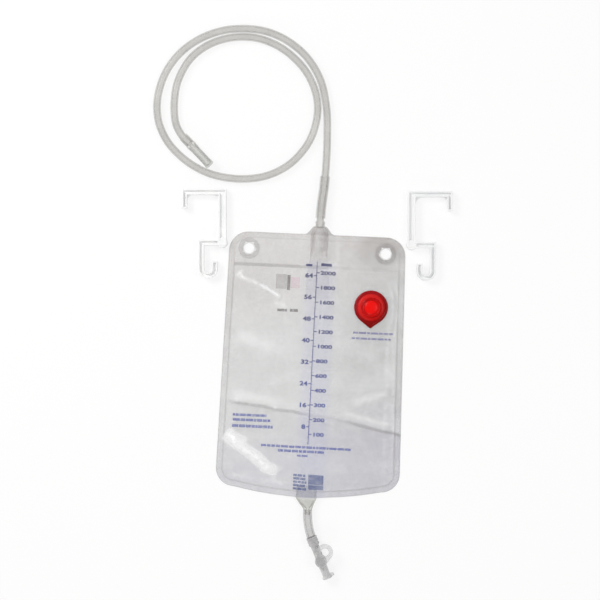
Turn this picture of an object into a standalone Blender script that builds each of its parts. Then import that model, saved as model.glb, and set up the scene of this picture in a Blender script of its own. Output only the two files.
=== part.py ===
"""Urine drainage bag lying flat on a table, seen from its printed side.

The bag is two PVC films welded round the edge, with a header that carries two eyelets, an inlet port
with its non-return sleeve, a vent under a red cap and an outlet port with a lever tap.  The long tube
lies in a loose loop above the bag, and two bed hangers lie unhooked beside it.
Metres, +Z up, +Y towards the inlet.  The origin is on the table under the middle of the back film.
"""
import math

import bmesh
import bpy
import numpy as np
from mathutils import Matrix, Vector

GAP = 0.0003                    # clearance between touching pieces

# Film bag
FILM = 0.00035                  # one film
BAG_TOP_WIDTH = 0.197
BAG_BOTTOM_WIDTH = 0.207
BAG_HEIGHT = 0.286              # from the top edge to the ends of the bottom edge
BOTTOM_SAG = 0.009              # how far the bottom edge bows out
CORNER_RADIUS = 0.021
WELD_WIDTH = 0.0067
HEADER_DEPTH = 0.0365           # from the top edge to the seam under the eyelets
PILLOW_HEIGHT = 0.0040          # the little air left in the bag
PILLOW_RISE = 0.015             # how far from a weld the film needs to lift
TENT_SLOPE = 0.0085             # how far film runs out beside a port before it lies flat
TENT_FLAT_SHARE = 0.30          # of a port's half width that the film covers at full height
TENT_FALL_SHARE = 1.35          # of a port's half width over which it comes down, beside the slope
TENT_LEAD = 0.016               # how far film slopes down past the inner end of a port
BOW_DEPTH = 0.060               # rows above the bottom corners that share the edge's bow

# Eyelets
EYELET_SPREAD = 0.1534          # centre to centre
EYELET_DROP = 0.0185            # below the top edge
EYELET_HOLE_RADIUS = 0.0056
EYELET_FLANGE_RADIUS = 0.0118
EYELET_WALL = 0.0010
EYELET_FLANGE_THICKNESS = 0.0016
EYELET_ROUNDING = 0.0004

# Drainage tube and what is on it
TUBE_RADIUS = 0.00425
TUBE_SEAT_DEPTH = 0.0075        # tube inside the inlet port
TUBE_SAMPLES = 72
GUARD_START = 0.0035            # above the port's mouth
GUARD_LENGTH = 0.047
GUARD_WALL = 0.0010

# Inlet port and non-return sleeve
INLET_X = 0.0018
INLET_NECK_WALL = 0.0009
INLET_ABOVE_EDGE = 0.0145       # port's mouth above the bag's top edge
INLET_BODY_HALF_WIDTH = 0.0100
INLET_BODY_HALF_HEIGHT = 0.0034
INLET_BODY_LENGTH = 0.0145      # below the top edge
SPIGOT_LENGTH = 0.0100
PORT_WALL = 0.0010
FILM_FLARE = 0.0085             # film wrapped up round the inlet's neck
FILM_FLARE_HALF_WIDTH = 0.0185
FILM_FLARE_DEPTH = 0.0120       # rows below the top edge that take part in it
NECK_FLARE_LENGTH = 0.0085      # from the tube's seat down to the full width of the body
SLEEVE_WALL = 0.0003
SLEEVE_LENGTH = 0.057
SLEEVE_LIP_HALF_WIDTH = 0.0130
SLEEVE_LIP_HALF_HEIGHT = 0.00075
SLEEVE_FLATTENING = [(0.0, 0.0), (0.20, 0.0), (0.42, 0.55), (0.68, 0.9), (1.0, 1.0)]

# Vent
VENT_CENTRE = (0.0627, 0.0684)
VENT_FILM_HEIGHT = 0.0042       # underside of the film round the vent
VENT_FLAT_RADIUS = 0.0250
VENT_EASE = 0.0110              # from that flat to the free film
VENT_BARREL_RADIUS = 0.0086
VENT_BARREL_WALL = 0.0024
VENT_BARREL_HEIGHT = 0.0036     # above the film
VENT_FLANGE_RADIUS = 0.0160
VENT_FLANGE_THICKNESS = 0.0009
VENT_SHELF_WIDTH = 0.0016       # ledge in the bore that carries the filter
VENT_SHELF_DEPTH = 0.0020
FILTER_THICKNESS = 0.0006
CAP_RADIUS = 0.0190
CAP_TIP_REACH = 0.0234
CAP_TIP_RADIUS = 0.0016
CAP_RIM_HEIGHT = 0.0024
CAP_RIM_BEVEL = 0.00105
CAP_DOME_RADIUS = 0.0112
CAP_DOME_HEIGHT = 0.0062
CAP_SKIRT_WIDTH = 0.0032        # fillet from the dome down to the rim
CAP_CLEARANCE = 0.0004

# Outlet port, outlet tube and tap
OUTLET_X = -0.0006
OUTLET_LEAN = 0.0022            # sideways drift of the neck
OUTLET_HALF_WIDTH = 0.0115
OUTLET_HALF_HEIGHT = 0.0032
OUTLET_BELOW_EDGE = 0.0135      # shoulder below the bottom edge
OUTLET_INSIDE = 0.0135
OUTLET_SPIGOT_RADIUS = 0.0031
OUTLET_SPIGOT_LENGTH = 0.0050
OUTLET_TUBE_RADIUS = 0.0050
OUTLET_TUBE_WALL = 0.0015
TAP_ORIGIN = (0.0070, -0.1910)  # mouth of the tap's socket
TAP_TURN_DEG = 24.3             # from straight down towards +X
TAP_AXIS_HEIGHT = 0.0063
TAP_LENGTH = 0.0500
TAP_SOCKET_LENGTH = 0.0090
TAP_SOCKET_WALL = 0.0009
TAP_SEAT_DEPTH = 0.0048         # outlet tube inside the socket
TAP_BARREL_RADIUS = 0.0046
TAP_BORE_RADIUS = 0.0026
TAP_LIP_RADIUS = 0.0055
TAP_LIP_LENGTH = 0.0024
TAP_EDGE = 0.0006               # rounding of its rims
TAP_SHOULDER = 0.0015           # taper between collar and barrel
TAP_PIVOT_DISTANCE = 0.0290
TAP_BOSS_RADIUS = 0.0066
TAP_BOSS_RISE = 0.0011          # above the barrel
TAP_BOSS_FOOT = 0.0002          # above the table
TAP_FLOOR = 0.0010              # under the plug
SPOUT_FOOT = [(-0.0012, 0.0), (0.0080, 0.0), (0.0088, -0.0030), (-0.0012, -0.0036)]
SPOUT_FOOT_HALF_HEIGHT = 0.0028
SPOUT_FOOT_SETBACK = 0.0044     # before the spout's end
PLUG_RADIUS = 0.0040
PLUG_HEAD_RADIUS = 0.0062
LEVER_THICKNESS = 0.0030
RING_DISTANCE = 0.0117
RING_RADIUS = 0.0092
RING_HOLE_RADIUS = 0.0044
RING_TURN_DEG = 71.0            # from +X

# Catheter connector and its cap
CONNECTOR_START = (-0.1554, 0.2500, 0.0060)
CONNECTOR_TURN_DEG = -44.5      # in plan, from +X
CONNECTOR_RISE_DEG = 8.0
CONNECTOR_WALL = 0.0007
CONNECTOR_SOCKET_DEPTH = 0.0110
CONNECTOR_BARREL_LENGTH = 0.0145
CONNECTOR_COLLAR = 0.0016       # length of the collar at the barrel's end
CONNECTOR_COLLAR_RISE = 0.0003
NOSE_LENGTH = 0.0280
NOSE_BASE_RADIUS = 0.0039
NOSE_TIP_RADIUS = 0.0031
CONNECTOR_BORE_RADIUS = 0.0021
END_CAP_WALL = 0.0009
END_CAP_END = 0.0016
END_CAP_EDGE = 0.0008

# Bed hangers
HANGER_TURN_DEG = 2.5
HANGER_RIGHT = (0.1026, 0.1970)
HANGER_LEFT = (-0.1090, 0.1904)
HANGER_DEPTH = 0.0090
HANGER_RIM = 0.0017
HANGER_WEB = 0.0030
POCKET_OVERRUN = 0.002          # how far a pocket's cutter passes the face
HANGER_REACH = 0.0424           # post to lip
HANGER_POST = 0.0568
HANGER_LIP = 0.0187
HANGER_JOG = 0.0238
HANGER_DROP = 0.0292            # jog to the centre of the hook's bend
HOOK_BEND_RADIUS = 0.0076
HOOK_RETURN = 0.0085
POST_WIDTH = 0.0088
ARM_WIDTH = 0.0064
LIP_WIDTH = 0.0056
HOOK_WIDTH = 0.0064
KNUCKLE_RADIUS = 0.0058

BAG_TOP = (BAG_HEIGHT + BOTTOM_SAG) / 2
BAG_CORNER_LINE = BAG_TOP - BAG_HEIGHT
SEAM_Y = BAG_TOP - HEADER_DEPTH
WELD_LEVEL = FILM + GAP         # underside of the front film where it is welded

# Folds in the front film: start, end, height and half-width.  A negative height is a valley.
FOLDS = [
    ((-0.0904, -0.0432), (-0.0359, -0.0498), 0.0016, 0.0050),
    ((-0.0359, -0.0498), (0.0243, -0.0567), 0.0021, 0.0048),
    ((0.0243, -0.0567), (0.0973, -0.0720), 0.0019, 0.0055),
    ((-0.0915, -0.0858), (-0.0363, -0.1193), 0.0024, 0.0060),
    ((-0.0800, -0.0700), (-0.0250, -0.1040), -0.0014, 0.0060),
    ((-0.0928, 0.0980), (-0.0644, 0.0891), 0.0020, 0.0045),
    ((-0.0644, 0.0891), (-0.0415, 0.0767), 0.0022, 0.0045),
    ((-0.0415, 0.0767), (-0.0340, 0.0480), 0.0014, 0.0050),
    ((0.0576, -0.0356), (0.0830, -0.0266), 0.0015, 0.0055),
    ((-0.0700, 0.0300), (-0.0450, -0.0200), 0.0010, 0.0110),
    ((0.0400, 0.0150), (0.0700, -0.0100), -0.0010, 0.0100),
]

# Route of the drainage tube, in plan with its height, from the inlet to the catheter connector
TUBE_ROUTE = [
    (0.0018, 0.1690, 0.0062), (0.0028, 0.1845, 0.0062), (0.0044, 0.2021, 0.0062),
    (0.0056, 0.2279, 0.0058), (0.0054, 0.2593, 0.0047), (0.0032, 0.2894, 0.0045),
    (-0.0048, 0.3200, 0.0045), (-0.0209, 0.3447, 0.0045), (-0.0427, 0.3620, 0.0045),
    (-0.0661, 0.3716, 0.0045), (-0.0911, 0.3741, 0.0045), (-0.1173, 0.3707, 0.0045),
    (-0.1423, 0.3602, 0.0045), (-0.1636, 0.3432, 0.0045), (-0.1788, 0.3203, 0.0045),
    (-0.1861, 0.2932, 0.0045), (-0.1845, 0.2679, 0.0045), (-0.1746, 0.2462, 0.0045),
    (-0.1592, 0.2296, 0.0045), (-0.1397, 0.2166, 0.0045), (-0.1158, 0.2082, 0.0045),
    (-0.0868, 0.2060, 0.0045), (-0.0587, 0.2113, 0.0045), (-0.0339, 0.2259, 0.0045),
    (-0.0154, 0.2494, 0.0045), (-0.0073, 0.2753, 0.0045), (-0.0080, 0.2998, 0.0045),
    (-0.0172, 0.3226, 0.0045), (-0.0319, 0.3406, 0.0045), (-0.0526, 0.3556, 0.0045),
    (-0.0776, 0.3641, 0.0045), (-0.1047, 0.3638, 0.0045), (-0.1305, 0.3550, 0.0045),
    (-0.1512, 0.3381, 0.0045), (-0.1639, 0.3136, 0.0045), (-0.1673, 0.2892, 0.0045),
    (-0.1652, 0.2668, 0.0046),
]


def clear_scene():
    for item in list(bpy.data.objects):
        bpy.data.objects.remove(item, do_unlink=True)


clear_scene()
PARTS = bpy.data.collections.new("urine_drainage_bag")
CUTTERS = bpy.data.collections.new("cutters")
bpy.context.scene.collection.children.link(PARTS)
bpy.context.scene.collection.children.link(CUTTERS)


def make_material(name, colour, roughness, alpha=1.0):
    """A Principled material; colour is linear RGB."""
    material = bpy.data.materials.new(name)
    material.use_nodes = True
    shader = material.node_tree.nodes["Principled BSDF"]
    shader.inputs["Base Color"].default_value = (*colour, 1.0)
    shader.inputs["Roughness"].default_value = roughness
    shader.inputs["Metallic"].default_value = 0.0
    shader.inputs["Alpha"].default_value = alpha
    return material


CLEAR_FILM = make_material("clear_film", (0.62, 0.62, 0.62), 0.22, 0.75)
CLEAR_TUBE = make_material("clear_tube", (0.70, 0.69, 0.66), 0.18, 0.70)
CLEAR_MOULDING = make_material("clear_moulding", (0.66, 0.66, 0.63), 0.25, 0.80)
WHITE_PLASTIC = make_material("white_plastic", (0.86, 0.86, 0.86), 0.42)
TAP_PLASTIC = make_material("tap_plastic", (0.72, 0.73, 0.72), 0.38)
RED_PLASTIC = make_material("red_plastic", (0.72, 0.008, 0.008), 0.24)
FILTER_FELT = make_material("filter_felt", (0.85, 0.85, 0.82), 0.90)


def place(name, mesh, material, collection=PARTS):
    """Link a mesh as a named object with its material."""
    item = bpy.data.objects.new(name, mesh)
    mesh.materials.clear()
    mesh.materials.append(material)
    collection.objects.link(item)
    return item


def hide_cutter(item):
    for owner in list(item.users_collection):
        owner.objects.unlink(item)
    CUTTERS.objects.link(item)
    item.hide_render = True
    item.display_type = "WIRE"


def combine(item, other, operation):
    """Add a Boolean that keeps the other object as a hidden cutter."""
    hide_cutter(other)
    step = item.modifiers.new(operation.lower(), "BOOLEAN")
    step.operation = operation
    step.object = other
    step.solver = "EXACT"


def weld(item):
    """Join the vertices that cuts left a hair apart."""
    join = item.modifiers.new("weld", "WELD")
    join.merge_threshold = 0.00001


def shade(mesh, angle_deg=35):
    mesh.shade_smooth()
    mesh.set_sharp_from_angle(angle=math.radians(angle_deg))


def turned(name, profile, material, segments=32):
    """Revolve (radius, height) points about Z with a Screw modifier; the outer side runs downwards."""
    mesh = bpy.data.meshes.new(name)
    points = [(radius, 0.0, height) for radius, height in profile]
    closed = all(radius > 0 for radius, _ in profile)
    edges = [(i, i + 1) for i in range(len(points) - 1)]
    if closed:
        edges.append((len(points) - 1, 0))
    mesh.from_pydata(points, edges, [])
    item = place(name, mesh, material)
    screw = item.modifiers.new("turn", "SCREW")
    screw.axis = "Z"
    screw.steps = segments
    screw.render_steps = segments
    screw.use_merge_vertices = True
    screw.merge_threshold = 0.00002
    screw.use_smooth_shade = True
    return item


def cylinder(name, radius, bottom, top, material, segments=32):
    """An upright cylinder between two heights."""
    mesh = bpy.data.meshes.new(name)
    body = bmesh.new()
    bmesh.ops.create_cone(body, cap_ends=True, segments=segments, radius1=radius, radius2=radius,
                          depth=top - bottom)
    bmesh.ops.translate(body, verts=body.verts, vec=(0, 0, (top + bottom) / 2))
    body.to_mesh(mesh)
    body.free()
    shade(mesh)
    return place(name, mesh, material)


def plate(name, loops, bottom, top, material):
    """A flat outline with holes, as a filled 2D curve made into a mesh between two heights."""
    curve = bpy.data.curves.new(name, "CURVE")
    curve.dimensions = "2D"
    curve.fill_mode = "BOTH"
    curve.extrude = (top - bottom) / 2
    for loop in loops:
        spline = curve.splines.new("POLY")
        spline.points.add(len(loop) - 1)
        for point, (x, y) in zip(spline.points, loop):
            point.co = (x, y, 0.0, 1.0)
        spline.use_cyclic_u = True
    drawing = bpy.data.objects.new(name + "_outline", curve)
    drawing.location.z = (top + bottom) / 2
    PARTS.objects.link(drawing)
    bpy.context.view_layer.update()
    evaluated = drawing.evaluated_get(bpy.context.evaluated_depsgraph_get())
    mesh = bpy.data.meshes.new_from_object(evaluated)
    mesh.name = name
    body = bmesh.new()
    body.from_mesh(mesh)
    bmesh.ops.remove_doubles(body, verts=body.verts, dist=0.00002)
    bmesh.ops.recalc_face_normals(body, faces=body.faces)
    body.to_mesh(mesh)
    body.free()
    item = place(name, mesh, material)
    item.matrix_world = drawing.matrix_world.copy()
    bpy.data.objects.remove(drawing, do_unlink=True)
    return item


def round_edges(item, width, segments=2, angle_deg=40):
    bevel = item.modifiers.new("round_edges", "BEVEL")
    bevel.width = width
    bevel.segments = segments
    bevel.limit_method = "ANGLE"
    bevel.angle_limit = math.radians(angle_deg)


def arc(centre, radius, start_deg, end_deg, steps):
    """Points along a circle's arc, both ends included."""
    angles = np.radians(np.linspace(start_deg, end_deg, steps + 1))
    return [(centre[0] + radius * math.cos(a), centre[1] + radius * math.sin(a)) for a in angles]


def oval_ring(section, count):
    """Points of one oval section (x, y, z, half width, half height) that faces along Y."""
    x, y, z, half_width, half_height = section
    angles = np.linspace(0, 2 * math.pi, count, endpoint=False)
    return [Vector((x + half_width * math.cos(a), y, z + half_height * math.sin(a))) for a in angles]


def hollow_loft(name, outer, inner, material, count=22):
    """Skin a run of oval sections outside and another inside, joined at both mouths."""
    mesh = bpy.data.meshes.new(name)
    body = bmesh.new()
    sections = list(outer) + list(reversed(inner))
    rings = [[body.verts.new(p) for p in oval_ring(section, count)] for section in sections]
    for here, there in zip(rings, rings[1:] + rings[:1]):
        for i in range(count):
            j = (i + 1) % count
            body.faces.new((here[i], here[j], there[j], there[i]))
    bmesh.ops.recalc_face_normals(body, faces=body.faces)
    body.to_mesh(mesh)
    body.free()
    shade(mesh)
    return place(name, mesh, material)


def smooth_path(points, count):
    """Catmull-Rom curve through the points, read again at equal steps of length."""
    ends = [tuple(2 * np.array(points[0]) - np.array(points[1]))]
    tail = [tuple(2 * np.array(points[-1]) - np.array(points[-2]))]
    knots = np.array(ends + list(points) + tail)
    t = np.linspace(0, 1, 12, endpoint=False)[:, None]
    pieces = []
    for i in range(1, len(knots) - 2):
        a, b, c, d = knots[i - 1:i + 3]
        pieces.append(0.5 * (2 * b + (c - a) * t + (2 * a - 5 * b + 4 * c - d) * t ** 2
                             + (3 * b - a - 3 * c + d) * t ** 3))
    fine = np.vstack(pieces + [knots[-2:-1]])
    lengths = np.concatenate([[0], np.cumsum(np.linalg.norm(np.diff(fine, axis=0), axis=1))])
    stations = np.linspace(0, lengths[-1], count)
    return np.column_stack([np.interp(stations, lengths, fine[:, k]) for k in range(3)])


def round_tube(name, path, radius, material, wall=0.0, resolution=3):
    """A round tube along a path: solid with capped ends, or open with the given wall."""
    curve = bpy.data.curves.new(name, "CURVE")
    curve.dimensions = "3D"
    curve.bevel_depth = radius
    curve.bevel_resolution = resolution
    curve.use_fill_caps = wall == 0.0
    spline = curve.splines.new("POLY")
    spline.points.add(len(path) - 1)
    for point, place_here in zip(spline.points, path):
        point.co = (*place_here, 1.0)
    item = bpy.data.objects.new(name, curve)
    PARTS.objects.link(item)
    if wall == 0.0:
        curve.materials.append(material)
        return item
    bpy.context.view_layer.update()
    evaluated = item.evaluated_get(bpy.context.evaluated_depsgraph_get())
    mesh = bpy.data.meshes.new_from_object(evaluated)
    bpy.data.objects.remove(item, do_unlink=True)
    body = bmesh.new()
    body.from_mesh(mesh)
    bmesh.ops.remove_doubles(body, verts=body.verts, dist=0.00002)
    bmesh.ops.recalc_face_normals(body, faces=body.faces)
    body.to_mesh(mesh)
    body.free()
    shell = place(name, mesh, material)
    solidify = shell.modifiers.new("wall", "SOLIDIFY")
    solidify.thickness = wall
    solidify.offset = -1
    return shell


def ease(t):
    """Smooth step from 0 to 1 on arrays."""
    t = np.clip(t, 0.0, 1.0)
    return t * t * (3 - 2 * t)


# Sections of the two ports (x, y, z, half width, half height), from mouth to inside

NECK_RADIUS = TUBE_RADIUS + GAP + INLET_NECK_WALL
NECK_AXIS_HEIGHT = WELD_LEVEL + NECK_RADIUS + GAP
INLET_MOUTH_Y = BAG_TOP + INLET_ABOVE_EDGE
INLET_BODY_END = BAG_TOP - INLET_BODY_LENGTH
BODY_AXIS_HEIGHT = WELD_LEVEL + INLET_BODY_HALF_HEIGHT + GAP


def inlet_sections():
    """Outer sections of the inlet port: round neck, flare, flat body, stepped spigot."""
    seat = INLET_MOUTH_Y - TUBE_SEAT_DEPTH
    spigot_width = INLET_BODY_HALF_WIDTH - SLEEVE_WALL - 2 * GAP
    spigot_height = INLET_BODY_HALF_HEIGHT - SLEEVE_WALL - GAP
    shoulder = seat - NECK_FLARE_LENGTH
    shoulder_height = (NECK_AXIS_HEIGHT + BODY_AXIS_HEIGHT) / 2
    return [
        (INLET_X, INLET_MOUTH_Y, NECK_AXIS_HEIGHT, NECK_RADIUS, NECK_RADIUS),
        (INLET_X, seat + 0.0020, NECK_AXIS_HEIGHT, NECK_RADIUS, NECK_RADIUS),
        (INLET_X, seat - 0.0005, NECK_AXIS_HEIGHT, NECK_RADIUS * 1.35, NECK_RADIUS),
        (INLET_X, (seat + shoulder) / 2, shoulder_height, INLET_BODY_HALF_WIDTH * 0.93, NECK_RADIUS * 0.83),
        (INLET_X, shoulder, BODY_AXIS_HEIGHT, INLET_BODY_HALF_WIDTH, INLET_BODY_HALF_HEIGHT),
        (INLET_X, INLET_BODY_END, BODY_AXIS_HEIGHT, INLET_BODY_HALF_WIDTH, INLET_BODY_HALF_HEIGHT),
        (INLET_X, INLET_BODY_END, BODY_AXIS_HEIGHT, spigot_width, spigot_height),
        (INLET_X, INLET_BODY_END - SPIGOT_LENGTH, BODY_AXIS_HEIGHT, spigot_width, spigot_height),
    ]


def make_inlet_port():
    outer = inlet_sections()
    seat = INLET_MOUTH_Y - TUBE_SEAT_DEPTH
    socket = TUBE_RADIUS + GAP
    spigot = outer[-1]
    inner_width = spigot[3] - PORT_WALL
    inner_height = spigot[4] - PORT_WALL
    inner = [
        (INLET_X, INLET_MOUTH_Y, NECK_AXIS_HEIGHT, socket, socket),
        (INLET_X, seat, NECK_AXIS_HEIGHT, socket, socket),
        (INLET_X, seat - 0.0002, NECK_AXIS_HEIGHT, socket - PORT_WALL, socket - PORT_WALL),
        (INLET_X, seat - NECK_FLARE_LENGTH, BODY_AXIS_HEIGHT, inner_width, inner_height),
        (INLET_X, spigot[1], BODY_AXIS_HEIGHT, inner_width, inner_height),
    ]
    return hollow_loft("inlet_port", outer, inner, CLEAR_MOULDING)


SLEEVE_TOP = INLET_BODY_END - GAP
SLEEVE_BOTTOM = SLEEVE_TOP - SLEEVE_LENGTH
SLEEVE_LIP_AXIS = WELD_LEVEL + SLEEVE_LIP_HALF_HEIGHT + SLEEVE_WALL


def sleeve_sections():
    """Outer sections of the non-return sleeve, from the port's oval down to its flat lips."""
    spigot = inlet_sections()[-1]
    start = np.array([BODY_AXIS_HEIGHT, spigot[3] + GAP + SLEEVE_WALL, spigot[4] + GAP + SLEEVE_WALL])
    lips = np.array([SLEEVE_LIP_AXIS, SLEEVE_LIP_HALF_WIDTH, SLEEVE_LIP_HALF_HEIGHT])
    sections = []
    for station, flat in SLEEVE_FLATTENING:
        sections.append((INLET_X, SLEEVE_TOP - SLEEVE_LENGTH * station, *(start * (1 - flat) + lips * flat)))
    return sections


def make_non_return_sleeve():
    """Soft flat sleeve pulled over the port's spigot; its lips close when urine presses back."""
    outer = sleeve_sections()
    inner = [(x, y, z, width - SLEEVE_WALL, height - SLEEVE_WALL) for x, y, z, width, height in outer]
    return hollow_loft("non_return_sleeve", outer, inner, CLEAR_FILM)


OUTLET_EDGE_Y = BAG_CORNER_LINE - BOTTOM_SAG
OUTLET_SHOULDER_Y = OUTLET_EDGE_Y - OUTLET_BELOW_EDGE
OUTLET_BODY_AXIS = WELD_LEVEL + OUTLET_HALF_HEIGHT + GAP
OUTLET_NECK_AXIS = WELD_LEVEL + OUTLET_TUBE_RADIUS
OUTLET_NECK_X = OUTLET_X + OUTLET_LEAN


def outlet_sections():
    """Outer sections of the outlet port, from inside the bag to the spigot in the outlet tube."""
    neck = OUTLET_TUBE_RADIUS
    middle_y = OUTLET_EDGE_Y - OUTLET_BELOW_EDGE * 0.5
    return [
        (OUTLET_X, OUTLET_EDGE_Y + OUTLET_INSIDE, OUTLET_BODY_AXIS,
         OUTLET_HALF_WIDTH * 0.92, OUTLET_HALF_HEIGHT * 0.9),
        (OUTLET_X, OUTLET_EDGE_Y + 0.0070, OUTLET_BODY_AXIS, OUTLET_HALF_WIDTH, OUTLET_HALF_HEIGHT),
        (OUTLET_X, OUTLET_EDGE_Y - 0.0010, OUTLET_BODY_AXIS, OUTLET_HALF_WIDTH, OUTLET_HALF_HEIGHT),
        (OUTLET_X + OUTLET_LEAN * 0.4, middle_y, (OUTLET_BODY_AXIS + OUTLET_NECK_AXIS) / 2 + GAP,
         OUTLET_HALF_WIDTH * 0.70, neck * 0.9),
        (OUTLET_NECK_X, OUTLET_SHOULDER_Y + 0.0015, OUTLET_NECK_AXIS, neck, neck),
        (OUTLET_NECK_X, OUTLET_SHOULDER_Y, OUTLET_NECK_AXIS, neck, neck),
        (OUTLET_NECK_X, OUTLET_SHOULDER_Y, OUTLET_NECK_AXIS, OUTLET_SPIGOT_RADIUS, OUTLET_SPIGOT_RADIUS),
        (OUTLET_NECK_X, OUTLET_SHOULDER_Y - OUTLET_SPIGOT_LENGTH, OUTLET_NECK_AXIS,
         OUTLET_SPIGOT_RADIUS, OUTLET_SPIGOT_RADIUS),
    ]


def make_outlet_port():
    outer = outlet_sections()
    bore = OUTLET_SPIGOT_RADIUS - PORT_WALL
    inner = []
    for x, y, z, half_width, half_height in outer[:4]:
        inner.append((x, y, z, half_width - PORT_WALL * 1.3, half_height - PORT_WALL * 1.3))
    for x, y, z, _, _ in (outer[4], outer[7]):
        inner.append((x, y, z, bore, bore))
    return hollow_loft("outlet_port", outer, inner, CLEAR_MOULDING)


# Film bag: both films follow one outline, and the front film one height


def half_width(y):
    """Half width of the bag at a height, from the taper and the corner arcs; y is an array."""
    share = (y - BAG_CORNER_LINE) / BAG_HEIGHT
    full = (BAG_BOTTOM_WIDTH * (1 - share) + BAG_TOP_WIDTH * share) / 2
    from_end = np.minimum(y - BAG_CORNER_LINE, BAG_TOP - y)
    into_corner = np.clip(CORNER_RADIUS - from_end, 0.0, CORNER_RADIUS)
    return full - CORNER_RADIUS + np.sqrt(CORNER_RADIUS ** 2 - into_corner ** 2)


def edge_shift(x, y):
    """How far a point moves along Y for the bowed bottom edge and the flare round the inlet."""
    middle = BAG_BOTTOM_WIDTH / 2 - CORNER_RADIUS
    bow = 1 - np.clip(np.abs(x) / middle, 0, 1) ** 2
    low = 1 - ease((y - BAG_CORNER_LINE) / BOW_DEPTH)
    high = ease((y - BAG_TOP) / FILM_FLARE_DEPTH + 1)
    beside = (FILM_FLARE_HALF_WIDTH - np.abs(x - INLET_X)) / (FILM_FLARE_HALF_WIDTH * 0.5)
    return -BOTTOM_SAG * bow * low + FILM_FLARE * ease(beside) * high


def tent(x, y, stations, centre_x):
    """Height of film stretched over a port: full over its middle, easing down beside it."""
    places = np.array([s[0] for s in stations])
    widths = np.interp(y, places, [s[1] for s in stations])
    heights = np.interp(y, places, [s[2] for s in stations])
    beside = (np.abs(x - centre_x) - TENT_FLAT_SHARE * widths) / (TENT_FALL_SHARE * widths + TENT_SLOPE)
    return heights * (1 - ease(beside))


def fold_height(x, y):
    """Sum of the film's folds: each a soft ridge or valley along a straight stretch."""
    total = np.zeros_like(x)
    for (x0, y0), (x1, y1), height, width in FOLDS:
        run = np.array([x1 - x0, y1 - y0])
        along = ((x - x0) * run[0] + (y - y0) * run[1]) / run.dot(run)
        along = np.clip(along, 0, 1)
        away = np.hypot(x - x0 - along * run[0], y - y0 - along * run[1])
        total = total + height * np.exp(-(away / width) ** 2)
    return total


def film_underside(x, y):
    """Height of the front film's underside at points given as arrays."""
    share = (y - BAG_CORNER_LINE) / BAG_HEIGHT
    side = (BAG_BOTTOM_WIDTH * (1 - share) + BAG_TOP_WIDTH * share) / 2 - WELD_WIDTH - np.abs(x)
    bottom = y - edge_shift(x, np.full_like(y, BAG_CORNER_LINE)) - BAG_CORNER_LINE - WELD_WIDTH
    chamber = ease(side / PILLOW_RISE) * ease(bottom / PILLOW_RISE) * ease((SEAM_Y - y) / PILLOW_RISE)
    free = chamber * (PILLOW_HEIGHT + fold_height(x, y))
    from_vent = np.hypot(x - VENT_CENTRE[0], y - VENT_CENTRE[1])
    vent_share = 1 - ease((from_vent - VENT_FLAT_RADIUS) / VENT_EASE)
    free = free * (1 - vent_share) + (VENT_FILM_HEIGHT - WELD_LEVEL) * vent_share * ease(side / WELD_WIDTH)
    clearance = 2.5 * GAP
    covered = sleeve_sections()[::-1] + inlet_sections()[-3::-1]
    inlet = [(s[1], s[3], s[2] + s[4] + clearance - WELD_LEVEL) for s in covered]
    inlet = [(SLEEVE_BOTTOM - TENT_LEAD, SLEEVE_LIP_HALF_WIDTH, 0.0)] + inlet
    outlet = [(s[1], s[3], s[2] + s[4] + clearance - WELD_LEVEL) for s in outlet_sections()[2::-1]]
    outlet = outlet + [(OUTLET_EDGE_Y + OUTLET_INSIDE + TENT_LEAD, OUTLET_HALF_WIDTH, 0.0)]
    lift = np.maximum(tent(x, y, inlet, INLET_X), tent(x, y, outlet, OUTLET_X))
    return WELD_LEVEL + np.maximum(np.maximum(free, lift), 0.0)


def stations(marks, counts):
    """Stations between marks, with the given number of steps in each stretch."""
    runs = [np.linspace(a, b, n, endpoint=False) for a, b, n in zip(marks, marks[1:], counts)]
    return np.concatenate(runs + [[marks[-1]]])


def film_grid():
    """x and y of the bag's grid: closer at the corners, the welds, the seam and the inlet."""
    corner = CORNER_RADIUS * (1 - np.cos(np.radians(np.linspace(0, 90, 6))))
    low = BAG_CORNER_LINE + corner
    high = (BAG_TOP - corner)[::-1]
    middle = stations([low[-1], SEAM_Y - 0.030, SEAM_Y + 0.002, high[0]], [18, 5, 2])
    rows = np.concatenate([low[:-1], middle, high[1:]])
    edge = 1 - WELD_WIDTH / (BAG_BOTTOM_WIDTH / 2)
    near = 0.023 / (BAG_BOTTOM_WIDTH / 2)
    centre = INLET_X / (BAG_BOTTOM_WIDTH / 2)
    marks = [-1, -edge, centre - near, centre, centre + near, edge, 1]
    columns = stations(marks, [1, 8, 7, 7, 8, 1])
    x = columns[:, None] * half_width(rows)[None, :]
    y = np.repeat(rows[None, :], len(columns), axis=0)
    return x, y + edge_shift(x, y)


def film_sheet(name, x, y, z):
    """A film from a grid, thickened upwards from its underside."""
    mesh = bpy.data.meshes.new(name)
    body = bmesh.new()
    across, along = x.shape
    bmesh.ops.create_grid(body, x_segments=across - 1, y_segments=along - 1, size=0.5)
    body.verts.ensure_lookup_table()
    order = sorted(body.verts, key=lambda v: (round((v.co.y + 0.5) * (along - 1)),
                                              round((v.co.x + 0.5) * (across - 1))))
    for vert, px, py, pz in zip(order, x.T.ravel(), y.T.ravel(), z.T.ravel()):
        vert.co = (px, py, pz)
    body.to_mesh(mesh)
    body.free()
    shade(mesh, 60)
    item = place(name, mesh, CLEAR_FILM)
    solidify = item.modifiers.new("film_thickness", "SOLIDIFY")
    solidify.thickness = FILM
    solidify.offset = 1
    return item


def eyelet_centres():
    return [("left", -EYELET_SPREAD / 2), ("right", EYELET_SPREAD / 2)]


EYELET_Y = BAG_TOP - EYELET_DROP
EYELET_CLEARANCE_RADIUS = EYELET_HOLE_RADIUS + EYELET_WALL + GAP


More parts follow.
